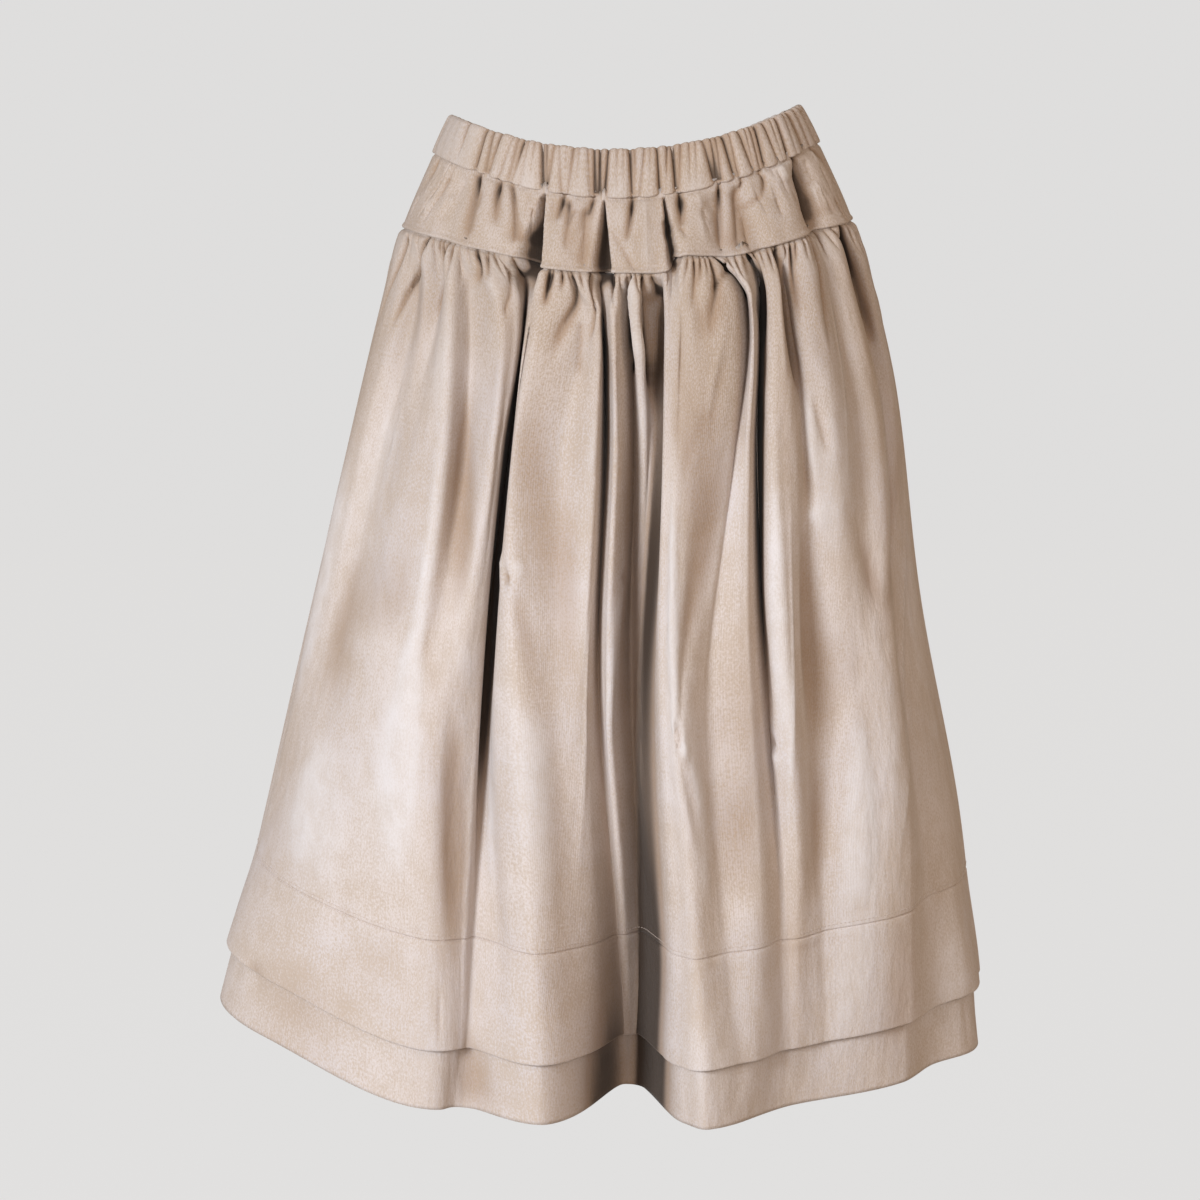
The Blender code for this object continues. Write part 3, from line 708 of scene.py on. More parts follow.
# %% Creases of the skirt panels
# start across, start down, end across, end down, bow, half width at both ends, depth at both ends
FRONT_GATHERS = (
    (72, 68, 29, 138, -12, 3.9, 4.1, 5, 1),
    (98, 60, 66, 100, -8, 3.5, 5.4, 1.5, 0),
    (118, 60, 104, 82, 0, 3.1, 4.1, 2, 0),
    (144, 60, 64, 145, -22, 3.8, 5, 5.6, 0.8),
    (156, 60, 143, 84, 0, 2.8, 3.5, 2.4, 0),
    (171, 60, 162, 76, 0, 2.6, 3.2, 3.2, 0),
    (179, 60, 166, 84, 0, 2.6, 3.5, 3.6, 0),
    (192, 60, 152, 126, -14, 3.2, 3.6, 5.4, 0.8),
    (207, 60, 188, 84, 0, 2.8, 4.1, 3.8, 0),
    (222, 60, 206, 92, 0, 3.1, 5.4, 2, 0),
    (240, 60, 236, 70, 0, 2.6, 3.2, 2.4, 0),
    (259, 60, 228, 88, 2, 4, 5.2, 5.4, 1),
    (280, 60, 250, 79, 0, 2.8, 4.2, 3.8, 0.5),
    (291, 60, 282, 74, 0, 2.8, 3.2, 3.2, 0),
    (300, 60, 296, 72, 0, 2.8, 3.2, 1.6, 0),
    (300, 72, 264, 110, -12, 4, 6, 2.4, 0.6),
    (324, 60, 325, 74, 0, 3.5, 4.1, 3.2, 0),
    (394, 60, 392, 94, 0, 3.6, 4.9, 5.6, 1),
    (401, 60, 395, 74, 0, 2.4, 2.7, 3.4, 0),
    (415, 60, 406, 74, 0, 2.8, 3.2, 4.4, 0),
    (424, 60, 418, 70, 0, 2.3, 2.4, 2.2, 0),
    (430, 60, 404, 138, -9, 3.2, 4.4, 4.4, 0.8),
    (444, 60, 432, 76, 0, 2.8, 3.6, 3.2, 0),
    (463, 60, 425, 122, -8, 2.7, 3.4, 5.2, 1.4),
    (417, 106, 421, 150, 0, 2.6, 3.2, 1.2, 1.6),
    (501, 60, 493, 82, 0, 3.2, 3.6, 4, 0.8),
    (510, 60, 506, 74, 0, 2.4, 2.7, 2, 0),
    (521, 60, 519, 78, 0, 2.6, 3, 2.4, 0),
    (528, 60, 526, 145, -4, 3.6, 4.6, 5.4, 3),
    (536, 60, 540, 74, 0, 2.4, 2.4, 3.2, 0),
    (548, 60, 560, 175, 2, 3.9, 6.2, 4.8, 3.4),
    (531, 64, 541, 145, 0, 5.2, 5.4, -2.4, -2.4),
    (562, 60, 582, 94, 0, 5.2, 6.8, 3.4, 0),
    (590, 60, 588, 76, 0, 3.1, 3.5, 2, 0),
    (610, 60, 604, 76, 0, 2.8, 3.2, 2.2, 0),
    (622, 60, 614, 80, 0, 2.8, 3.5, 2.4, 0),
    (632, 60, 621, 106, 0, 3.5, 6.8, 3.4, 0),
    (643, 60, 632, 80, 0, 2.8, 3.5, 3, 0),
    (651, 60, 643, 74, 0, 2.4, 2.7, 2.4, 0),
    (660, 60, 640, 125, -6, 3.1, 8.1, 3.8, 1),
    (688, 62, 650, 83, -6, 2.8, 3.6, 2.6, 0.4),
    (672, 60, 673, 98, 0, 2.8, 4, 5, 2.5),
    (693, 60, 687, 74, 0, 2.8, 3.2, 3.4, 0),
    (706, 60, 698, 76, 0, 3, 3.6, 3.2, 0.5),
    (719, 60, 708, 74, 0, 2.4, 2.7, 3.4, 0),
    (728, 60, 724, 96, 0, 3.9, 4.4, 5.6, 3),
    (744, 60, 733, 140, 0, 4.2, 5.4, 4.4, 1),
    (757, 60, 752, 76, 0, 2.6, 3, 2.2, 0),
    (769, 60, 766, 76, 0, 2.6, 3.2, 3.2, 0),
    (777, 60, 781, 74, 0, 2.4, 2.7, 3.4, 0),
    (784, 60, 801, 190, -4, 4.2, 10.8, 6.6, 1.5),
    (800, 60, 804, 72, 0, 2.6, 2.7, 3.2, 0),
    (812, 60, 813, 130, 1, 3.1, 9.5, 4, 0),
    (822, 60, 818, 74, 0, 2.4, 3, 3.2, 0),
    (839, 60, 832, 72, 0, 2.4, 2.7, 2.8, 0),
    (851, 60, 843, 80, 0, 3, 3.8, 3.8, 0),
    (864, 60, 838, 165, -6, 3.9, 9.5, 4.4, 0),
    (878, 60, 872, 74, 0, 2.6, 3, 2.2, 0),
    (893, 60, 886, 78, 0, 3, 3.8, 3.8, 0),
    (908, 60, 910, 74, 0, 2.6, 3.2, 2.2, 0),
    (922, 60, 941, 80, 0, 3.3, 4.6, 3.8, 0),
    (948, 60, 957, 160, 8, 4.9, 9.5, 7.5, 1),
    (966, 60, 976, 84, 0, 3.1, 4.1, 3, 0),
    (984, 60, 996, 96, 0, 3.5, 5.4, 3, 0),
    (1006, 60, 1014, 80, 0, 3.1, 4.1, 2.4, 0),
)

# Longer and softer ones further down, pressed by hanging and by hands.
FRONT_CREASES = (
    (201, 150, 187, 560, 3, 9, 17, -3, -3.5),
    (250, 380, 274, 610, 0, 20, 26, 3.4, 3.8),
    (206, 140, 248, 360, 2, 14, 20, 2.2, 4.6),
    (256, 90, 264, 300, 0, 6, 8, -2, -1.6),
    (40, 200, 34, 470, 0, 22, 24, -2.5, -2.5),
    (120, 280, 150, 400, 6, 36, 30, 1.1, 1.1),
    (110, 420, 100, 570, 0, 26, 30, -2.5, -3.5),
    (390, 295, 406, 425, 4, 7, 12, 3.6, 1.6),
    (398, 150, 416, 350, 0, 12, 16, 2.2, 1.4),
    (366, 330, 362, 560, 0, 14, 16, -3.5, -4),
    (457, 272, 423, 545, 2, 2, 2.6, -1.3, -1.3),
    (652, 108, 641, 195, -4, 1.8, 2, -1.2, -0.9),
    (602, 190, 618, 415, 0, 10, 9, -3, -4),
    (650, 165, 622, 418, 7, 22, 3.5, 2, 4.4),
    (676, 200, 668, 420, 0, 12, 14, -0.8, -0.6),
    (642, 415, 646, 560, 0, 12, 16, -2, -2.5),
    (622, 425, 645, 520, 4, 6, 10, 3, 1),
    (682, 450, 678, 560, 0, 14, 16, 1.5, 1.8),
    (738, 320, 739, 436, 0, 8, 5, 1, 3),
    (750, 120, 752, 440, 2, 6, 7, -2.5, -4),
    (769, 250, 736, 560, 8, 2, 2.6, -1.5, -1.5),
    (793, 240, 799, 450, 0, 11, 13, 3.5, 3.5),
    (793, 176, 800, 262, 0, 6, 5, 1.5, 5),
    (806, 150, 800, 240, 0, 8, 9, -1.5, -3.5),
    (812, 176, 821, 222, 0, 5, 4, 1.5, 4),
    (866, 100, 838, 250, 0, 1.9, 2.4, -1.1, -0.9),
    (836, 262, 906, 372, 0, 15, 18, 1.6, 1.4),
    (970, 250, 892, 372, 0, 15, 16, 1.5, 1.4),
    (961, 116, 959, 158, 0, 4.5, 6.5, 4.5, 1.5),
    (795, 450, 786, 570, 0, 14, 16, 2.2, 1.8),
    (830, 400, 826, 570, 0, 18, 20, -3.5, -4),
    (1016, 262, 873, 560, 0, 2.6, 2.8, -1.6, -1.4),
    (506, 270, 486, 470, 2, 6, 4, -3, -2.5),
    (400, 370, 398, 600, 0, 13, 17, -2.6, -3),
    (424, 210, 426, 430, 0, 12, 13, 2.8, 2.2),
    (96, 290, 92, 420, 0, 20, 24, 1.6, 1.6),
    (330, 640, 334, 722, 0, 24, 26, 1, 3.6),
)
# Small dents where a trough ends against pushed-up cloth: across, down, half widths, millimetres deep.
FRONT_DENTS = (
    (386, 304, 3.4, 4.4, 6), (395, 297, 4.4, 6.4, -3.6), (380, 296, 4, 8, -2),
    (506, 302, 3.5, 4, 1.4), (619, 417, 5, 3.6, 6.4), (628, 425, 6, 5, -3.2),
    (613, 408, 4, 6, -2), (738, 436, 5, 4, 2.4), (740, 447, 9, 6, -1.8),
    (522, 138, 3.5, 4, 3.4), (518, 130, 5, 6, -2.6), (806, 268, 12, 8, -2.4),
    (212, 360, 9, 12, 1.4), (176, 330, 22, 26, 0.8), (150, 372, 30, 12, -1.2),
    (870, 330, 16, 22, 1.6), (888, 372, 14, 8, 1.4), (238, 638, 4, 15, 1.6),
    (212, 576, 12, 2.2, 0.9), (150, 580, 6, 9, 1), (787, 589, 44, 5, 0.9),
    (830, 570, 12, 2, 0.9), (974, 686, 5, 22, 1.8), (88, 665, 8, 7, 1.4),
)


def lengthened(gathers):
    """The same gathers with their ends further off, by 0.6 * exp(-(length / 22 mm)^2) of their length:
    a short one is drawn out, a long one hardly."""
    rows = np.array(gathers, float)
    more = 1 + 0.6 * np.exp(-((rows[:, 3] - rows[:, 1]) / 22) ** 2)
    rows[:, 2] = rows[:, 0] + (rows[:, 2] - rows[:, 0]) * more
    rows[:, 3] = rows[:, 1] + (rows[:, 3] - rows[:, 1]) * more
    return rows


def scattered(seed, number, left, right, top, low, longest, width, deepest):
    """Rows for short creases and ridges at random places between left and right, and top and low, with
    more of them near the top."""
    random = np.random.default_rng(seed)
    at = random.uniform(left, right, number)
    start = top + (low - top) * random.uniform(0, 1, number) ** 1.6
    length = longest * random.uniform(0.35, 1, number)
    lean = width * random.uniform(-3, 3, number)
    size = deepest * random.uniform(-0.7, 1, number)
    wide = width * random.uniform(0.6, 1.4, number)
    return np.stack((at, start, at + lean, start + length, 0.2 * lean, wide, 1.2 * wide, size, 0.5 * size),
                    axis=1)


FRONT_GATHERS = lengthened(FRONT_GATHERS)
FRONT_CREASES = np.concatenate((FRONT_CREASES, scattered(31, 90, 20, 1030, 66, 190, 70, 4.5, 1.5)))
print("gathers placed in front:", len(FRONT_GATHERS))

# %% Gathers of the back
rng = np.random.default_rng(11)
count = 60
starts = np.cumsum(rng.uniform(0.55, 1.45, count))
starts = 18 + 1014 * starts / starts[-1]
lengths = rng.choice((14, 20, 28, 46, 80), count, p=(0.30, 0.28, 0.2, 0.14, 0.08))
depths = rng.uniform(2.0, 3.6, count) + lengths / 45
drift = rng.uniform(-0.35, 0.35, count) * lengths
widths = rng.uniform(2.6, 4.0, count)
BACK_GATHERS = lengthened(np.stack((starts, np.full(count, 60.0), starts + drift, 60 + lengths,
                                    -0.2 * drift, widths, 2.8 + lengths / 12, depths, 0.1 * depths),
                                   axis=1))
BACK_CREASES = (
    (95, 150, 92, 520, 0, 16, 20, -3, -4),
    (150, 90, 141, 300, 4, 2, 2.6, -1.2, -1),
    (190, 220, 196, 540, 4, 12, 16, 4, 4),
    (265, 260, 300, 330, 0, 8, 6, 3, 5),
    (330, 100, 338, 360, -4, 2, 2.6, -1.2, -1),
    (372, 240, 380, 560, 0, 12, 16, -3.5, -4),
    (448, 300, 452, 540, 0, 10, 14, 4.5, 4),
    (520, 200, 512, 520, 3, 2.2, 2.8, -1.4, -1.2),
    (556, 250, 560, 430, 6, 9, 5, 3, 5.5),
    (640, 180, 655, 262, 0, 7, 4, 2, 5),
    (700, 110, 706, 360, 4, 2, 2.6, -1.2, -1),
    (730, 330, 722, 560, 0, 14, 18, -3.5, -4),
    (786, 250, 760, 380, 0, 8, 5, 3, 5),
    (840, 300, 846, 560, 0, 12, 16, 4, 4),
    (880, 150, 872, 420, 0, 2.2, 2.8, -1.2, -1),
    (950, 220, 960, 560, 0, 18, 20, -3, -4),
)
BACK_CREASES = np.concatenate((BACK_CREASES, scattered(32, 90, 20, 1030, 66, 190, 70, 4.5, 1.5)))
BACK_DENTS = (
    (300, 330, 3.5, 5, 3.5), (308, 324, 5, 7, -2.2), (655, 260, 3.5, 4.5, 3),
    (560, 430, 5, 5, 3.6), (760, 380, 4, 6, 3.2), (768, 390, 6, 7, -2.2),
)
GATHERS = {"front": FRONT_GATHERS, "back": BACK_GATHERS}
CREASES = {"front": FRONT_CREASES, "back": BACK_CREASES}
DENTS = {"front": FRONT_DENTS, "back": BACK_DENTS}
print("gathers spread behind:", count)

# %% [markdown]
# ## The skirt panels
#
# The outer skin is the draped grid, moved out by half the wall and pressed in by the creases. The rows
# lie closest at the two seams. At the tuck's seam the panel steps in, because the tuck lies over it
# from there down. At the side seams a fine groove shows where front and back are sewn together.

# %% Skirt panels
SKIN = 0.0016                 # the cloth's own thickness
ALLOWANCE = 0.007             # how far a sewn upper edge goes on inside, behind the piece above
SKIRT_COLUMNS = 1200
FINE_ROWS = 24                # rows that use every column; those below use every second one
INNER_ROWS = 38
INNER_STEP = 4                # the inner skin uses every fourth column
GATHERS_DEEPER = 1.9          # the gathers' depths are pressed in by this much more than their table says
FULL_PRESS = 0.0035           # metres in or out at which the painted crease shade or crest highlight is full
SEAM_DARK = 2.8               # how much painted shade goes on cloth that lies back close under the yoke seam


def spaced(*stops):
    """Heights that run down through the stops; each stop names how many steps follow it."""
    runs = [np.linspace(first, second, steps, endpoint=False)
            for (first, steps), (second, _) in zip(stops, stops[1:])]
    return np.concatenate(runs + [[stops[-1][0]]])


SKIRT_HEIGHTS = spaced((YOKE_SEAM - 0.0001, 4), (-0.0614, 4), (-0.0660, 16), (-0.1000, 16),
                       (-0.1600, 46), (-0.5690, 4), (-0.5790, 4), (TUCK_SEAM, 4), (-0.5832, 2),
                       (-0.5880, 10), (-0.7080, 2), (HEM, 0))


def lowest_nearby(values, reach):
    """The smallest value within so many columns on both sides, in every row."""
    padded = np.pad(values, ((0, 0), (reach, reach)), mode="edge")
    shifted = [padded[:, i:i + values.shape[1]] for i in range(2 * reach + 1)]
    return np.minimum.reduce(shifted)


def from_side(across):
    """Millimetres on the cloth to the nearer side seam."""
    return np.minimum(across, 1000 * CUT_WIDTH - across)


def side_grooves(across):
    """Metres that the sewn side edges sink: a bell curve 1.4 mm wide at each end of the cloth."""
    return -0.0009 * np.exp(-(from_side(across) / 1.4) ** 2)


def rolling(across, down, seed):
    """Metres of slow, uneven rolling that hanging cloth has: a few long sine waves, 0 at the edges."""
    waves = np.random.default_rng(seed)
    out = np.zeros(np.broadcast(across, down).shape)
    for wave in range(9):
        along_x = waves.uniform(0.015, 0.060)
        along_y = waves.uniform(-0.020, 0.020)
        out += waves.uniform(0.15, 0.50) * np.sin(along_x * across + along_y * down + waves.uniform(0, 6.28))
    shown = ramp(from_side(across), 0, 30) * ramp(down, 62, 130) * (1 - 0.6 * ramp(down, 660, 714))
    return 0.001 * out * shown


def skirt_surface(side, heights):
    """The panel's middle, its outward steps, the creases' depth, its places on the flat cloth, the side
    grooves, and a number for painted light, from -2, painted shade deep in a slit, to 1, painted
    highlight on a crest. The number is the depth of the creases as a share of FULL_PRESS, less painted
    shade along the gathers near the seam, less painted shade for how far in the point lies: deep in a big
    fold, or just under the seam behind cloth that stands out on both sides."""
    cloth = np.linspace(0, 1, SKIRT_COLUMNS + 1)
    middle, angle, out = draped(cloth, heights, FOLDS[side])
    outward = outward_steps(middle)
    across = 1000 * CUT_WIDTH * cloth[None, :]
    down = -1000 * heights[:, None]
    inside = ramp(from_side(across), 4, 16)
    gathered = pressed(across, down, GATHERS[side], 1.1, -0.05, 0.35)
    creased = pressed(across, down, CREASES[side], 2.0, 0.4, 0.4)
    press = GATHERS_DEEPER * gathered + creased + dented(across, down, DENTS[side])
    grown = ramp(down, YOKE_DOWN + 0.6, YOKE_DOWN + 6)
    crests = 0.0016 * (1 - ramp(down, 70, 105)) * grown
    press = press * inside * (0.25 + 0.75 * grown) + crests * inside
    press += rolling(across, down, 5 if side == "front" else 6)
    flat = np.stack(np.broadcast_arrays(0.001 * across, 0.001 * down), axis=-1)
    # Painted shade along the gathers' slits near the seam, deep in folds, and under the yoke seam.
    dark = 0.9 * np.clip(-gathered * inside / 0.0036, 0, 1) ** 1.5 * (1 - 0.6 * ramp(down, 76, 110))
    deep = 0.25 + 0.75 * ramp(-out, -0.010, 0.028)
    under_seam = SEAM_DARK * ramp(sheltered(angle, out, 3.6), 0.008, 0.020) * (1 - ramp(down, 64, 92))
    deep_shade = np.maximum(deep * hidden_depth(angle, out + press), under_seam)
    fold = np.clip(np.clip(press / FULL_PRESS, -1.0, 1) - dark - deep_shade, -2, 1)
    return middle, outward, press, flat, side_grooves(across), fold


def thinned(grid):
    """The rows of a grid, with every second column left out below the fine rows."""
    return [row if i <= FINE_ROWS else row[::2] for i, row in enumerate(grid)]


def skirt_panel(side):
    """A gathered panel from the yoke seam to the hem. It sinks under the yoke's roll at the seam, and
    under the tuck from the tuck's seam down."""
    middle, outward, press, flat, grooves, fold = skirt_surface(side, SKIRT_HEIGHTS)
    down = -1000 * SKIRT_HEIGHTS[:, None]
    tucked = -0.0026 * ramp(down, TUCK_DOWN - 0.4, TUCK_DOWN + 2.0)
    seam = -0.0016 * (1 - ramp(down, YOKE_DOWN, YOKE_DOWN + 2.6))
    place_out = press + tucked + seam + grooves
    outer = middle + outward * (WALL / 2 + place_out)[..., None]
    under = lowest_nearby(place_out, 4)
    inner = middle + outward * (WALL / 2 - SKIN + under)[..., None]
    inner[0, :, 2] += ALLOWANCE
    inside_rows = np.linspace(0, len(SKIRT_HEIGHTS) - 1, INNER_ROWS + 1).round().astype(int)
    inner = inner[inside_rows, ::INNER_STEP]
    points, faces = shell(thinned(outer), list(inner))
    places = np.concatenate(thinned(flat) + list(flat[inside_rows, ::INNER_STEP]))
    folds = np.concatenate(thinned(fold) + list(np.zeros(inner.shape[:2])))
    return add_piece(f"skirt_{side}_cloth", points, faces, places, folds, f"skirt_{side}")


skirts = {side: skirt_panel(side) for side in ("front", "back")}

# %% [markdown]
# ## The deep tucks
#
# A tuck is a fold of the panel itself: the cloth turns back up under itself and is stitched across, so
# a second, lower edge seems to hang over the hem. It is made from the panel's own grid, moved out. Its
# top comes out of the stitched groove, and its free edge is a pressed fold, round and two cloths thick.

# %% Tucks
TUCK_HEIGHTS = spaced((TUCK_SEAM - 0.0001, 5), (-0.5835, 16), (-0.6630, 3), (TUCK_EDGE, 0))


def tuck(side):
    """The panel's grid from the tuck's seam to its free edge, moved out by a rounded shoulder and a
    flare; then three rows round the pressed edge; then the back face, coarse, under the front one."""
    middle, outward, press, flat, grooves, fold = skirt_surface(side, TUCK_HEIGHTS)
    every_second = [grid[:, ::2] for grid in (middle, outward, press + grooves, flat, fold)]
    middle, outward, press, flat, fold = every_second
    down = -1000 * TUCK_HEIGHTS[:, None]
    shoulder = -0.0016 * (1 - ramp(down, TUCK_DOWN, TUCK_DOWN + 2.6))
    flare = 0.0036 * ramp(down, TUCK_DOWN, EDGE_DOWN)
    off = WALL / 2 + press + shoulder + flare
    thick = 0.0007 + 0.0013 * ramp(down, TUCK_DOWN, TUCK_DOWN + 18)
    outer = list(middle + outward * off[..., None])
    places = list(flat)
    folds = list(fold)
    for turn in np.radians((40, 85, 130)):
        edge = middle[-1] + outward[-1] * (off[-1] - 0.0010 * (1 - np.cos(turn)))[:, None]
        edge[:, 2] -= 0.0011 * np.sin(turn)
        outer.append(edge)
        places.append(flat[-1] + (0.0, 0.0007 * turn))
        # Painted highlight along the pressed edge.
        folds.append(np.minimum(fold[-1] + 0.6, 0.7))
    inner = list((middle + outward * (off - thick)[..., None])[::2, ::2])
    points, faces = shell(outer, inner)
    places = np.concatenate(places + list(flat[::2, ::2]))
    folds = np.concatenate(folds + [np.zeros(len(row)) for row in inner])
    return add_piece(f"tuck_{side}_cloth", points, faces, places, folds, f"tuck_{side}")


tucks = {side: tuck(side) for side in ("front", "back")}

# %% [markdown]
# ## The tuck's stitches
#
# One line of thread holds the tuck. Each stitch is a short bead, thickest in the middle, that lies on the
# panel just above the tuck's fold and sinks into the cloth at both ends. All of a panel's stitches are
# one mesh.

# %% Stitches
STITCH_HEIGHT = TUCK_SEAM + 0.0030
STITCH_STEP = 0.0034          # from one stitch to the next
STITCH_LENGTH = 0.0025
THREAD = 0.00034              # radius
# The thread's fold number, -0.35, gives it a little of the painted crease shade.
STITCH_NAP = ((0.5, 0.578), -0.35)    # the place on the cloth and the fold that all the thread reads


def stitches(side):
    """Beads along the panel's surface: five rings of four points from end to end, with radius
    THREAD * sin(pi * share)^0.6 and a middle that rises by half of it."""
    heights = np.linspace(STITCH_HEIGHT + 0.001, STITCH_HEIGHT - 0.001, 3)
    middle, outward, press, _, grooves, _ = skirt_surface(side, heights)
    line = (middle + outward * (WALL / 2 + press + grooves)[..., None])[1]
    normal = outward[1]
    run = run_along(line)
    starts = np.arange(0.006, run[-1] - 0.006, STITCH_STEP)
    share = np.array((0.02, 0.22, 0.5, 0.78, 0.98))
    at = starts[:, None] + STITCH_LENGTH * share
    spots = np.stack([np.interp(at, run, line[:, axis]) for axis in range(3)], axis=-1)
    out = np.stack([np.interp(at, run, normal[:, axis]) for axis in range(3)], axis=-1)
    radius = THREAD * np.sin(math.pi * share) ** 0.6
    up = np.array((0.0, 0.0, 1.0))
    turn = np.radians((45, 135, 225, 315))
    ring = (np.cos(turn)[:, None] * out[:, :, None] + np.sin(turn)[:, None] * up)
    points = spots[:, :, None] + radius[:, None, None] * (ring + 0.5 * out[:, :, None])
    index = np.arange(points[..., 0].size).reshape(points.shape[:3])
    after = np.roll(index, -1, axis=2)
    walls = np.stack((index[:, :-1], after[:, :-1], after[:, 1:], index[:, 1:]), axis=-1).reshape(-1, 4)
    caps = np.concatenate((index[:, 0, ::-1], index[:, -1]))
    places = np.zeros((points[..., 0].size, 2)) + STITCH_NAP[0]
    return add_piece("tuck_stitches_" + side, points.reshape(-1, 3), walls.tolist() + caps.tolist(),
                     places, np.full(len(places), STITCH_NAP[1]))


threads = {side: stitches(side) for side in ("front", "back")}

# %% [markdown]
# ## The yokes
#
# A yoke is a nearly straight band of cloth between the waistband and the gathers. The elastic above
# draws it into pleats that start sharp under the band, with painted shade that is darkest there. Its
# lower edge is turned under and laps the gathers in a thin roll over a dark line: the roll is painted
# pale as a highlight, and the line is its shadow with painted shade added. Here across is an angle in
# degrees and down is in millimetres below the waist.

# %% Creases of the yokes
FRONT_YOKE_CREASES = (
    (-49.5, -2, -45, 58, 0, 1.4, 2.6, 3.6, 1.5),
    (-40.5, -2, -37, 40, 0, 1.1, 1.8, 3.4, 0.5),
    (-36, -2, -30.5, 52, 1.2, 0.9, 1.1, 2.6, 1.2),
    (-29.5, 20, -29, 46, 0, 2.4, 3, 0.5, 2),
    (-18.6, -2, -20, 20, 0, 0.8, 0.9, 3.2, 1),
    (-17, 2, -15.8, 44, 0, 1.2, 1.8, 2.2, 1),
    (-9.7, -2, -10.8, 14, 0, 0.8, 1, 3.4, 0.5),
    (-11.4, 8, -11.6, 60, 0, 1.8, 2.6, 1.6, 1.8),
    (1.7, -2, -0.8, 36, 0, 0.9, 1.3, 4.2, 1),
    (-4.3, 22, 1.8, 58, 0, 0.9, 1.1, 0.4, 1.6),
    (5, 2, 4.4, 60, 0, 2.4, 2.8, -0.7, -0.8),
    (15.6, -4, 13.4, 36, 0.4, 0.9, 1.8, 4.6, 0.6),
    (21, 0, 19, 52, 0, 2, 3, -0.6, -0.8),
    (28.7, -6, 24.2, 56, -0.8, 0.8, 1, 3.6, 1.8),
    (33, 6, 28.5, 58, 0, 1.8, 3.4, 1.4, 3),
    (33.4, 30, 32, 60, 0, 0.9, 0.9, 0.4, 1.2),
    (35.2, -5, 33.6, 8, 1.2, 0.7, 0.7, 3, 1.4),
    (42.8, -1, 39.6, 18, 1.8, 1.1, 1.5, 2.6, 1.2),
    (40, 16, 34, 24, 0, 2, 2.4, 1.4, 0.6),
    (50.5, 0, 52, 14, 0, 5, 4, -2.2, -0.6),
    (47, -3, 47.5, 8, 0, 1.2, 1.6, 1.6, 0.2),
    (59.8, -5, 56.2, 60, 0.8, 1, 3.4, 5, 2.6),
    (74, -2, 85, 26, 0, 1.6, 3, 3.2, 0.6),
    (66, 30, 68, 52, 0, 6, 6, 0.6, 1),
    (-76, 0, -78, 30, 0, 2, 3, 1.2, 0.4),
    (-64.8, 0, -70.9, 50, 0.6, 0.40, 0.40, 0.9, 0.9),
    (-61.7, 0, -66.2, 52, 0.5, 0.40, 0.40, 0.9, 0.9),
    (-63.4, 0, -68.6, 51, 0.6, 1.30, 1.40, -0.5, -0.5),
)
FRONT_YOKE_CREASES = np.concatenate((FRONT_YOKE_CREASES, scattered(41, 70, -84, 84, 0, 42, 26, 0.8, 1.1)))
yoke_rng = np.random.default_rng(23)
spots = 94 + np.cumsum(yoke_rng.uniform(4.5, 10.5, 23))
spots = spots[spots < 266]
sizes = yoke_rng.choice((12, 22, 38, 54), len(spots))
BACK_YOKE_CREASES = np.stack((spots, np.full(len(spots), -3.0),
                              spots + yoke_rng.uniform(-0.06, 0.06, len(spots)) * sizes,
                              sizes + 0.0, yoke_rng.uniform(-0.5, 0.5, len(spots)),
                              yoke_rng.uniform(0.7, 1.1, len(spots)), 0.9 + sizes / 30,
                              yoke_rng.uniform(2.2, 4.6, len(spots)), sizes / 45), axis=1)
BACK_YOKE_CREASES = np.concatenate((BACK_YOKE_CREASES, scattered(42, 70, 96, 264, 0, 42, 26, 0.8, 1.1)))
print("yoke creases in front and behind:", len(FRONT_YOKE_CREASES), len(BACK_YOKE_CREASES))

# %% Yokes
YOKE_COLUMNS = 900
YOKE_CREASES = {"front": FRONT_YOKE_CREASES, "back": BACK_YOKE_CREASES}
CREASES_DEEPER = 2.2          # the yoke creases' depths are pressed in by this much more
FURTHEST_IN = -0.7 * BAND_WALL    # of the yoke's upper edge, so that it stays behind the band
YOKE_HEIGHTS = spaced((BAND_SEAM - 0.0001, 4), (BAND_SEAM - 0.003, 20), (-0.0520, 6), (-0.0582, 3),
                      (YOKE_SEAM + 0.0001, 0))


def yoke_surface(side, heights):
    """Middle, outward steps, depth of the creases, places on the flat cloth, side grooves and the fold
    number of a yoke, which sets its painted shade and painted highlight."""
    cloth = np.linspace(0, 1, YOKE_COLUMNS + 1)
    angle = even_angles(cloth, FOLDS[side][0][1][0], YOKE_SEAM)[None, :]
    angle, height = np.broadcast_arrays(angle, heights[:, None])
    out = yoke_out(angle, height)
    middle = place(angle, height, out)
    if side == "front":
        middle[..., 2] += seam_lift(angle, height)
    across = 1000 * CUT_WIDTH * cloth[None, :]
    down = -1000 * height
    edge = np.minimum(cloth, 1 - cloth)[None, :]
    grown = ramp(down, BAND_DOWN, BAND_DOWN + 5)
    press = CREASES_DEEPER * pressed(angle, down, YOKE_CREASES[side], 1.15, 0.05, 0.3)
    press *= (0.6 + 0.4 * grown) * ramp(edge, 0.005, 0.02)
    flat = np.stack(np.broadcast_arrays(0.0005 * across, 0.001 * down), axis=-1)
    # Painted shade deep in the wedges and along the creases, strongest under the band.
    deep_shade = 1.8 * ramp(sheltered(angle, out, 3.6), 0.003, 0.015)
    dark = np.clip(-press / 0.0060, 0, 1) ** 2 * (0.25 + 0.85 * (1 - ramp(down, 0, 20)))
    fold = np.clip(np.clip(press / FULL_PRESS, -1.0, 1) - dark - deep_shade, -2, 1)
    return middle, outward_steps(middle), press, flat, side_grooves(across), fold


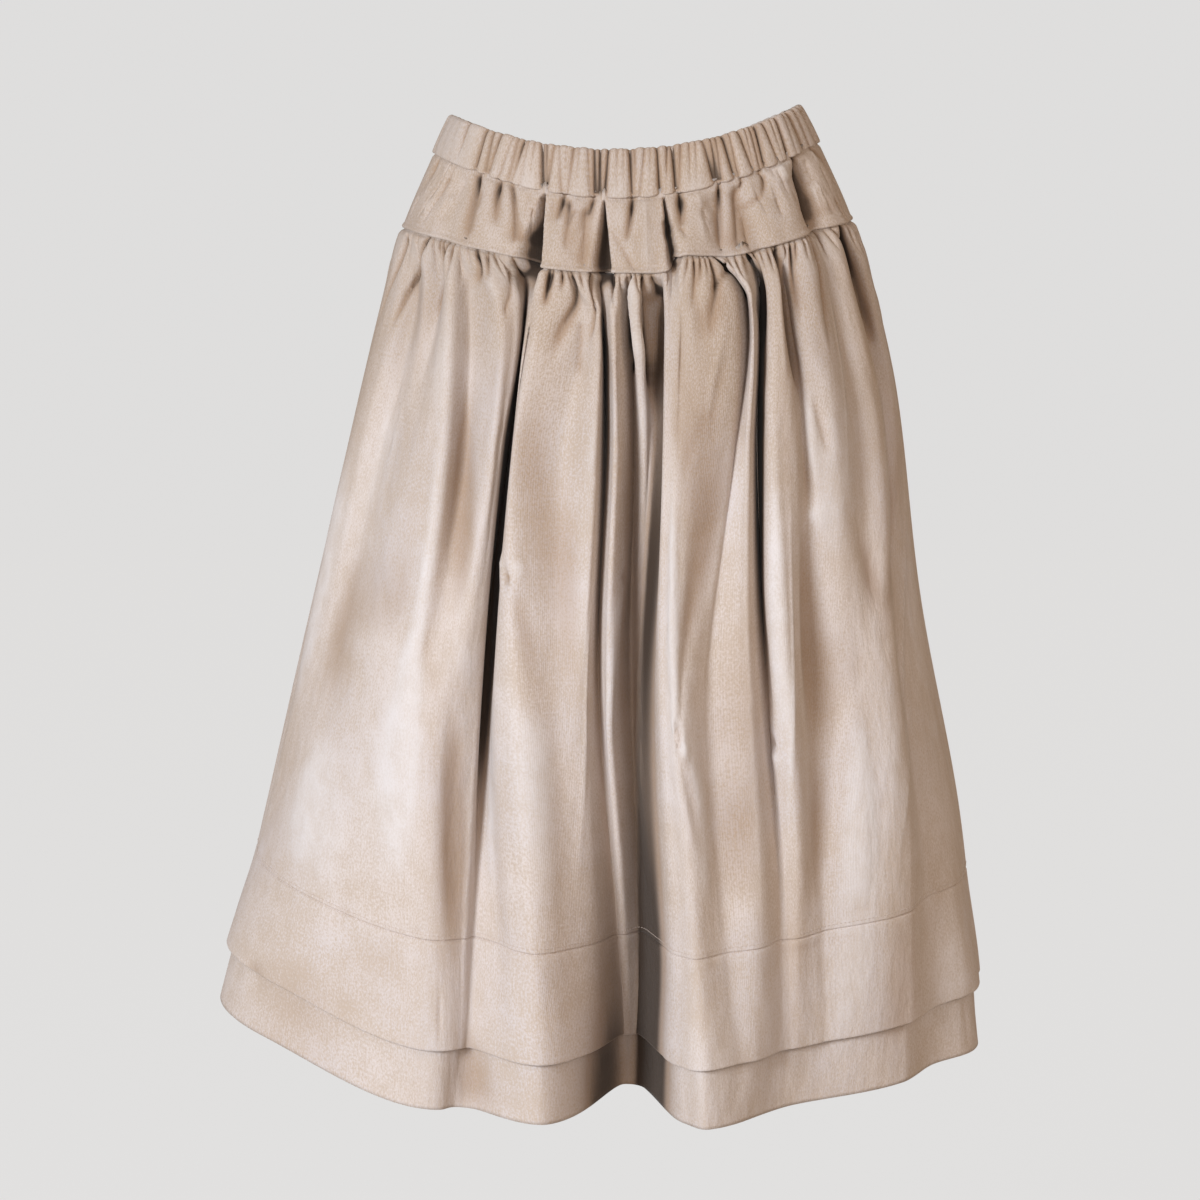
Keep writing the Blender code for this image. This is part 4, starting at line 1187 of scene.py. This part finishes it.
def yoke(side):
    """A yoke whose top edge sinks under the band and whose foot is a thin turned roll. Its inner skin
    goes on up behind the band, but no further in than that can hide."""
    middle, outward, press, flat, grooves, fold = yoke_surface(side, YOKE_HEIGHTS)
    down = -1000 * YOKE_HEIGHTS[:, None]
    sunk = -0.0012 * (1 - ramp(down, BAND_DOWN, BAND_DOWN + 3.5))
    roll = (0.0010 * ramp(down, YOKE_DOWN - 5.0, YOKE_DOWN - 2.0)
            - 0.0012 * ramp(down, YOKE_DOWN - 1.2, YOKE_DOWN))
    off = WALL / 2 + press + sunk + roll + grooves
    outer = list(middle + outward * off[..., None])
    under = lowest_nearby(off, 2) - SKIN
    inner = list((middle + outward * under[..., None])[::2])
    inner[0] = middle[0] + outward[0] * np.maximum(under[0], FURTHEST_IN)[:, None]
    inner[0][:, 2] += ALLOWANCE
    points, faces = shell(outer, inner)
    places = np.concatenate(list(flat) + list(flat[::2]))
    # Painted highlight along the turned roll at the foot.
    fold = fold + 0.4 * ramp(down, YOKE_DOWN - 2.4, YOKE_DOWN - 1.2)
    folds = np.concatenate((fold.ravel(), np.zeros(sum(len(row) for row in inner))))
    return add_piece(f"yoke_{side}_cloth", points, faces, places, folds, f"yoke_{side}")


yokes = {side: yoke(side) for side in ("front", "back")}

# %% [markdown]
# ## The waistband
#
# The band is a casing, folded over at the top, with a wide elastic inside. The elastic draws it up, so
# the cloth stands in narrow puffs with sharp creases between. Some creases are deep from top to foot,
# others die out half-way. Near the -X side there is a smooth place where the elastic's ends meet.

# %% Creases of the waistband
# angle at the top edge, angle at the seam, half width in degrees, depth in millimetres at both ends
BAND_FRONT = (
    (-84, -82, 1.4, 1.4, 0.6), (-61.7, -59.6, 0.8, 2.8, 0.2), (-51.6, -51, 1.1, 2.8, 2.8),
    (-48.1, -46.5, 1.3, 2.4, 2), (-44.3, -45.3, 1, 2.6, 1.6), (-39.1, -40.9, 1.1, 1.4, 1.6),
    (-37, -37.2, 1, 1.8, 1.4), (-34.6, -36.1, 1, 2.8, 1.2), (-33, -33, 0.9, 1.2, 1),
    (-30.6, -29.5, 0.9, 1.4, 0.2), (-28.1, -25.2, 1, 3.2, 3), (-26.3, -24, 0.8, 1.8, 0.4),
    (-23.4, -24.3, 1.2, 1.8, 1.8), (-21.7, -19.3, 1, 1.2, 1.8), (-19, -18.6, 0.8, 0.9, 0.1),
    (-16.8, -17.4, 1.1, 2.2, 1.4), (-15, -14.4, 0.9, 1.2, 0.2), (-12.1, -10.5, 0.9, 1.6, 1),
    (-10.1, -9.3, 0.9, 2.6, 2.8), (-8.2, -8, 0.8, 2.8, 2.4), (-5.5, -6.6, 0.9, 2.8, 3),
    (-2.6, -2.9, 0.9, 1.4, 0.2), (-0.6, -0.9, 0.8, 1, 0.1), (1.3, 1.5, 0.9, 3.2, 2.8),
    (2.9, 2.4, 0.8, 1.6, 0.2), (6.2, 3.6, 1.1, 1.6, 1.4), (8, 6.4, 0.9, 1, 0.1),
    (10.1, 9.6, 1, 2.8, 3.2), (13.5, 11.4, 0.9, 2, 0.4), (15.2, 14.4, 1, 3.2, 2.8),
    (18.2, 15, 1.1, 2, 1.2), (21, 18.4, 1, 1.6, 0.2), (23.1, 20.6, 0.9, 1.2, 0.2),
    (25.6, 26.9, 1.5, 2.4, 2.8), (28.5, 27.7, 1, 1.8, 2), (30.4, 28.8, 0.9, 1.6, 1.4),
    (32.7, 33.4, 1.3, 3, 2.6), (35.4, 34.8, 0.9, 1.4, 1.6), (39.1, 40.5, 1.2, 2.6, 2.2),
    (42.1, 40.8, 0.9, 1.2, 0.4), (44.3, 43, 1, 1.8, 1.6), (46.7, 45, 1.3, 3, 2.8),
    (50.6, 51, 1.2, 2.6, 2), (54.3, 53, 1, 1.2, 0.4), (57.8, 56, 1.3, 2.8, 3.2),
    (63.1, 60.5, 1, 1.4, 0.6), (67, 66, 1.6, 2.8, 2.4), (72.7, 71, 1.4, 1.8, 1.8),
    (79, 78, 1.6, 2.2, 2), (85, 84, 1.4, 1.8, 1.6),
)
band_rng = np.random.default_rng(7)
spots = 89 + np.cumsum(band_rng.uniform(1.8, 5.6, 52))
spots = spots[spots < 272]
BAND_BACK = np.stack((spots, spots + band_rng.uniform(-1.6, 1.6, len(spots)),
                      band_rng.uniform(0.8, 1.4, len(spots)), band_rng.uniform(1.0, 3.2, len(spots)),
                      band_rng.choice((0.4, 1.4, 2.4, 3.0), len(spots))), axis=1)
print("band creases in front and behind:", len(BAND_FRONT), len(BAND_BACK))

# %% Waistband
BAND_COLUMNS = 1680
BAND_HEIGHT = 0.031           # from the seam to the top edge
LAST_STEP = 0.004             # across the foot of the casing, from its inside to its outside


def band_press(angle, lift):
    """Metres that the creases sink the casing at an angle and a share of its height, 0 at the seam and
    1 at the top edge. Each crease is exp(-|turn / width|^0.95), so puffs stand between sharp lines."""
    out = np.zeros(np.broadcast(angle, lift).shape)
    for top, foot, width, top_mm, foot_mm in np.concatenate((BAND_FRONT, BAND_BACK)):
        turn = turn_from(foot + (top - foot) * lift, angle)
        depth = foot_mm + (top_mm - foot_mm) * ramp(lift, 0.1, 0.9)
        out -= 0.0017 * depth * np.exp(-np.abs(turn / width) ** 0.95)
    return out


def band_profile():
    """Once round the casing, from the seam up the outside, over the top and down the inside: share of
    the height, metres out from the middle, and how much of the creases shows."""
    half = BAND_WALL / 2
    rows = [(0.0, 0.35 * half, 0.55), (0.02, 0.80 * half, 0.75), (0.05, 1.02 * half, 0.95)]
    rows += [(lift, half + 0.0005 * math.sin(math.pi * lift), 1.0) for lift in np.linspace(0.10, 0.90, 15)]
    rows += [(0.945, 0.98 * half, 1.0), (0.975, 0.80 * half, 0.95), (0.995, 0.42 * half, 0.85),
             (1.0, 0.0, 0.70), (0.99, -0.45 * half, 0.45), (0.965, -0.80 * half, 0.20)]
    rows += [(lift, -half, 0.06) for lift in (0.90, 0.70, 0.50, 0.30, 0.10, 0.0)]
    return np.array(rows)


def ring_faces(rings, columns, closed):
    """Quads between rings of points that are numbered ring by ring, and from the last ring back to the
    first where the profile is closed; with the ring and the column of each."""
    steps = rings if closed else rings - 1
    ring, column = np.meshgrid(np.arange(steps), np.arange(columns), indexing="ij")
    after = (column + 1) % columns
    above = (ring + 1) % rings
    faces = np.stack((ring * columns + column, ring * columns + after,
                      above * columns + after, above * columns + column), axis=-1)
    return faces.reshape(-1, 4).tolist(), ring, column


def waistband():
    """The profile carried round the waist as one closed ring. Two sine waves make some puffs fuller than
    others, and each crease puckers the band's two edges towards its middle."""
    profile = band_profile()
    angle = 360 * np.arange(BAND_COLUMNS) / BAND_COLUMNS
    lift, out, share = profile.T
    rings, columns = len(profile), BAND_COLUMNS
    around = np.broadcast_to(angle[None, :], (rings, columns))
    lifted = np.broadcast_to(lift[:, None], (rings, columns))
    press = band_press(around, lifted)
    puff = 0.0011 + 0.0006 * np.sin(np.radians(around * 11) + 1.3) * np.sin(np.radians(around * 4.0))
    height = BAND_SEAM + 0.0002 + (WAIST_TOP - BAND_SEAM - 0.0002) * lifted
    reach = out[:, None] + (press + puff) * share[:, None]
    points = place(around, height, reach)
    pucker = press * 0.60 * (1 - ramp(lifted, 0.0, 0.25)) - press * 0.55 * ramp(lifted, 0.8, 1.0)
    points[..., 2] -= pucker * np.minimum(share[:, None] * 2, 1)
    faces, ring, column = ring_faces(rings, columns, True)
    run = np.concatenate(([0], np.cumsum(np.hypot(np.diff(lift) * BAND_HEIGHT, np.diff(out)))))
    wide = CUT_WIDTH / columns
    low = run[ring]
    high = np.append(run[1:], run[-1] + LAST_STEP)[ring]
    left, right = column * wide, (column + 1) * wide
    corners = np.stack((left, low, right, low, right, high, left, high), axis=-1)
    # Painted light: the puffs take the painted crest highlight, and the creases painted shade, darkest in
    # the deepest.
    fold = 0.6 + press * share[:, None] / 0.0024
    fold = np.clip(fold - 0.5 * np.clip(-press / 0.0060, 0, 1) ** 2, -1.7, 0.4)
    return add_piece("waistband_casing", points.reshape(-1, 3), faces, corners.reshape(-1, 2),
                     fold.ravel(), "waistband")


band = waistband()

# %% [markdown]
# ## Lights and backdrop
#
# A plain pale floor curves up into a wall all round. It is shown to the camera alone, so that it doesn't
# throw light up under the skirt. The main light is a large soft window in front and to the left, a
# little cool. The rest of the room is dim and warm, which with the painted crease shade makes the pale
# cloth brown in its folds.

# %% Backdrop
def studio_floor():
    """A profile of floor, curved corner, wall and ceiling, turned round the skirt."""
    columns = 96
    turn = np.linspace(0, math.pi / 2, 9)
    radius = np.concatenate(([0.0, 4.0], 8.0 + 2.0 * np.sin(turn), [10.0, 0.0]))
    height = np.concatenate(([-1.3, -1.3], 0.7 - 2.0 * np.cos(turn), [8.0, 8.0]))
    around = np.linspace(0, 2 * math.pi, columns + 1)[:-1]
    points = np.stack((radius[:, None] * np.cos(around), radius[:, None] * np.sin(around),
                       np.broadcast_to(height[:, None], (len(radius), columns))), axis=-1)
    faces, _, _ = ring_faces(len(radius), columns, False)
    mesh = bpy.data.meshes.new("studio_floor")
    mesh.from_pydata(points.reshape(-1, 3).tolist(), [], faces)
    mesh.shade_smooth()
    paint = bpy.data.materials.new("pale_floor")
    paint.use_nodes = True
    shader = paint.node_tree.nodes["Principled BSDF"]
    shader.inputs["Base Color"].default_value = (0.08, 0.08, 0.08, 1.0)
    shader.inputs["Roughness"].default_value = 0.9
    shader.inputs["Emission Color"].default_value = (0.70, 0.70, 0.70, 1.0)
    shader.inputs["Emission Strength"].default_value = 1.0
    mesh.materials.append(paint)
    floor = add_object("studio_floor", mesh)
    floor.visible_diffuse = False
    floor.visible_glossy = False
    floor.visible_transmission = False
    floor.visible_shadow = False


studio_floor()
bpy.context.scene.view_settings.view_transform = "Standard"


# %% Lights
LIT_SPOT = (0, 0, -0.4)       # the middle of the skirt, where every window faces


def window(name, spot, size, watts, colour):
    """A square soft light at a spot, facing the skirt."""
    data = bpy.data.lights.new(name, "AREA")
    data.shape = "SQUARE"
    data.size = size
    data.energy = watts
    data.color = colour
    light = add_object(name, data)
    away = np.array(spot) - np.array(LIT_SPOT)
    flat = math.hypot(away[0], away[1])
    light.location = spot
    light.rotation_euler = (math.atan2(flat, away[2]), 0, math.atan2(away[0], -away[1]))


window("key_window", (-2.3, -3.4, 0.6), 1.2, 157, (0.86, 0.94, 1.03))
window("front_window", (0.1, -4.4, 0.3), 1.6, 46, (0.98, 0.97, 1.0))
window("side_window", (3.0, -1.6, 0.9), 1.4, 22, (1.0, 0.85, 0.70))
world = bpy.data.worlds.new("room")
world.use_nodes = True
air = world.node_tree.nodes["Background"]
air.inputs["Color"].default_value = (1.0, 0.74, 0.52, 1.0)
air.inputs["Strength"].default_value = 0.28
bpy.context.scene.world = world
print("lights:", [light.name for light in bpy.data.lights])
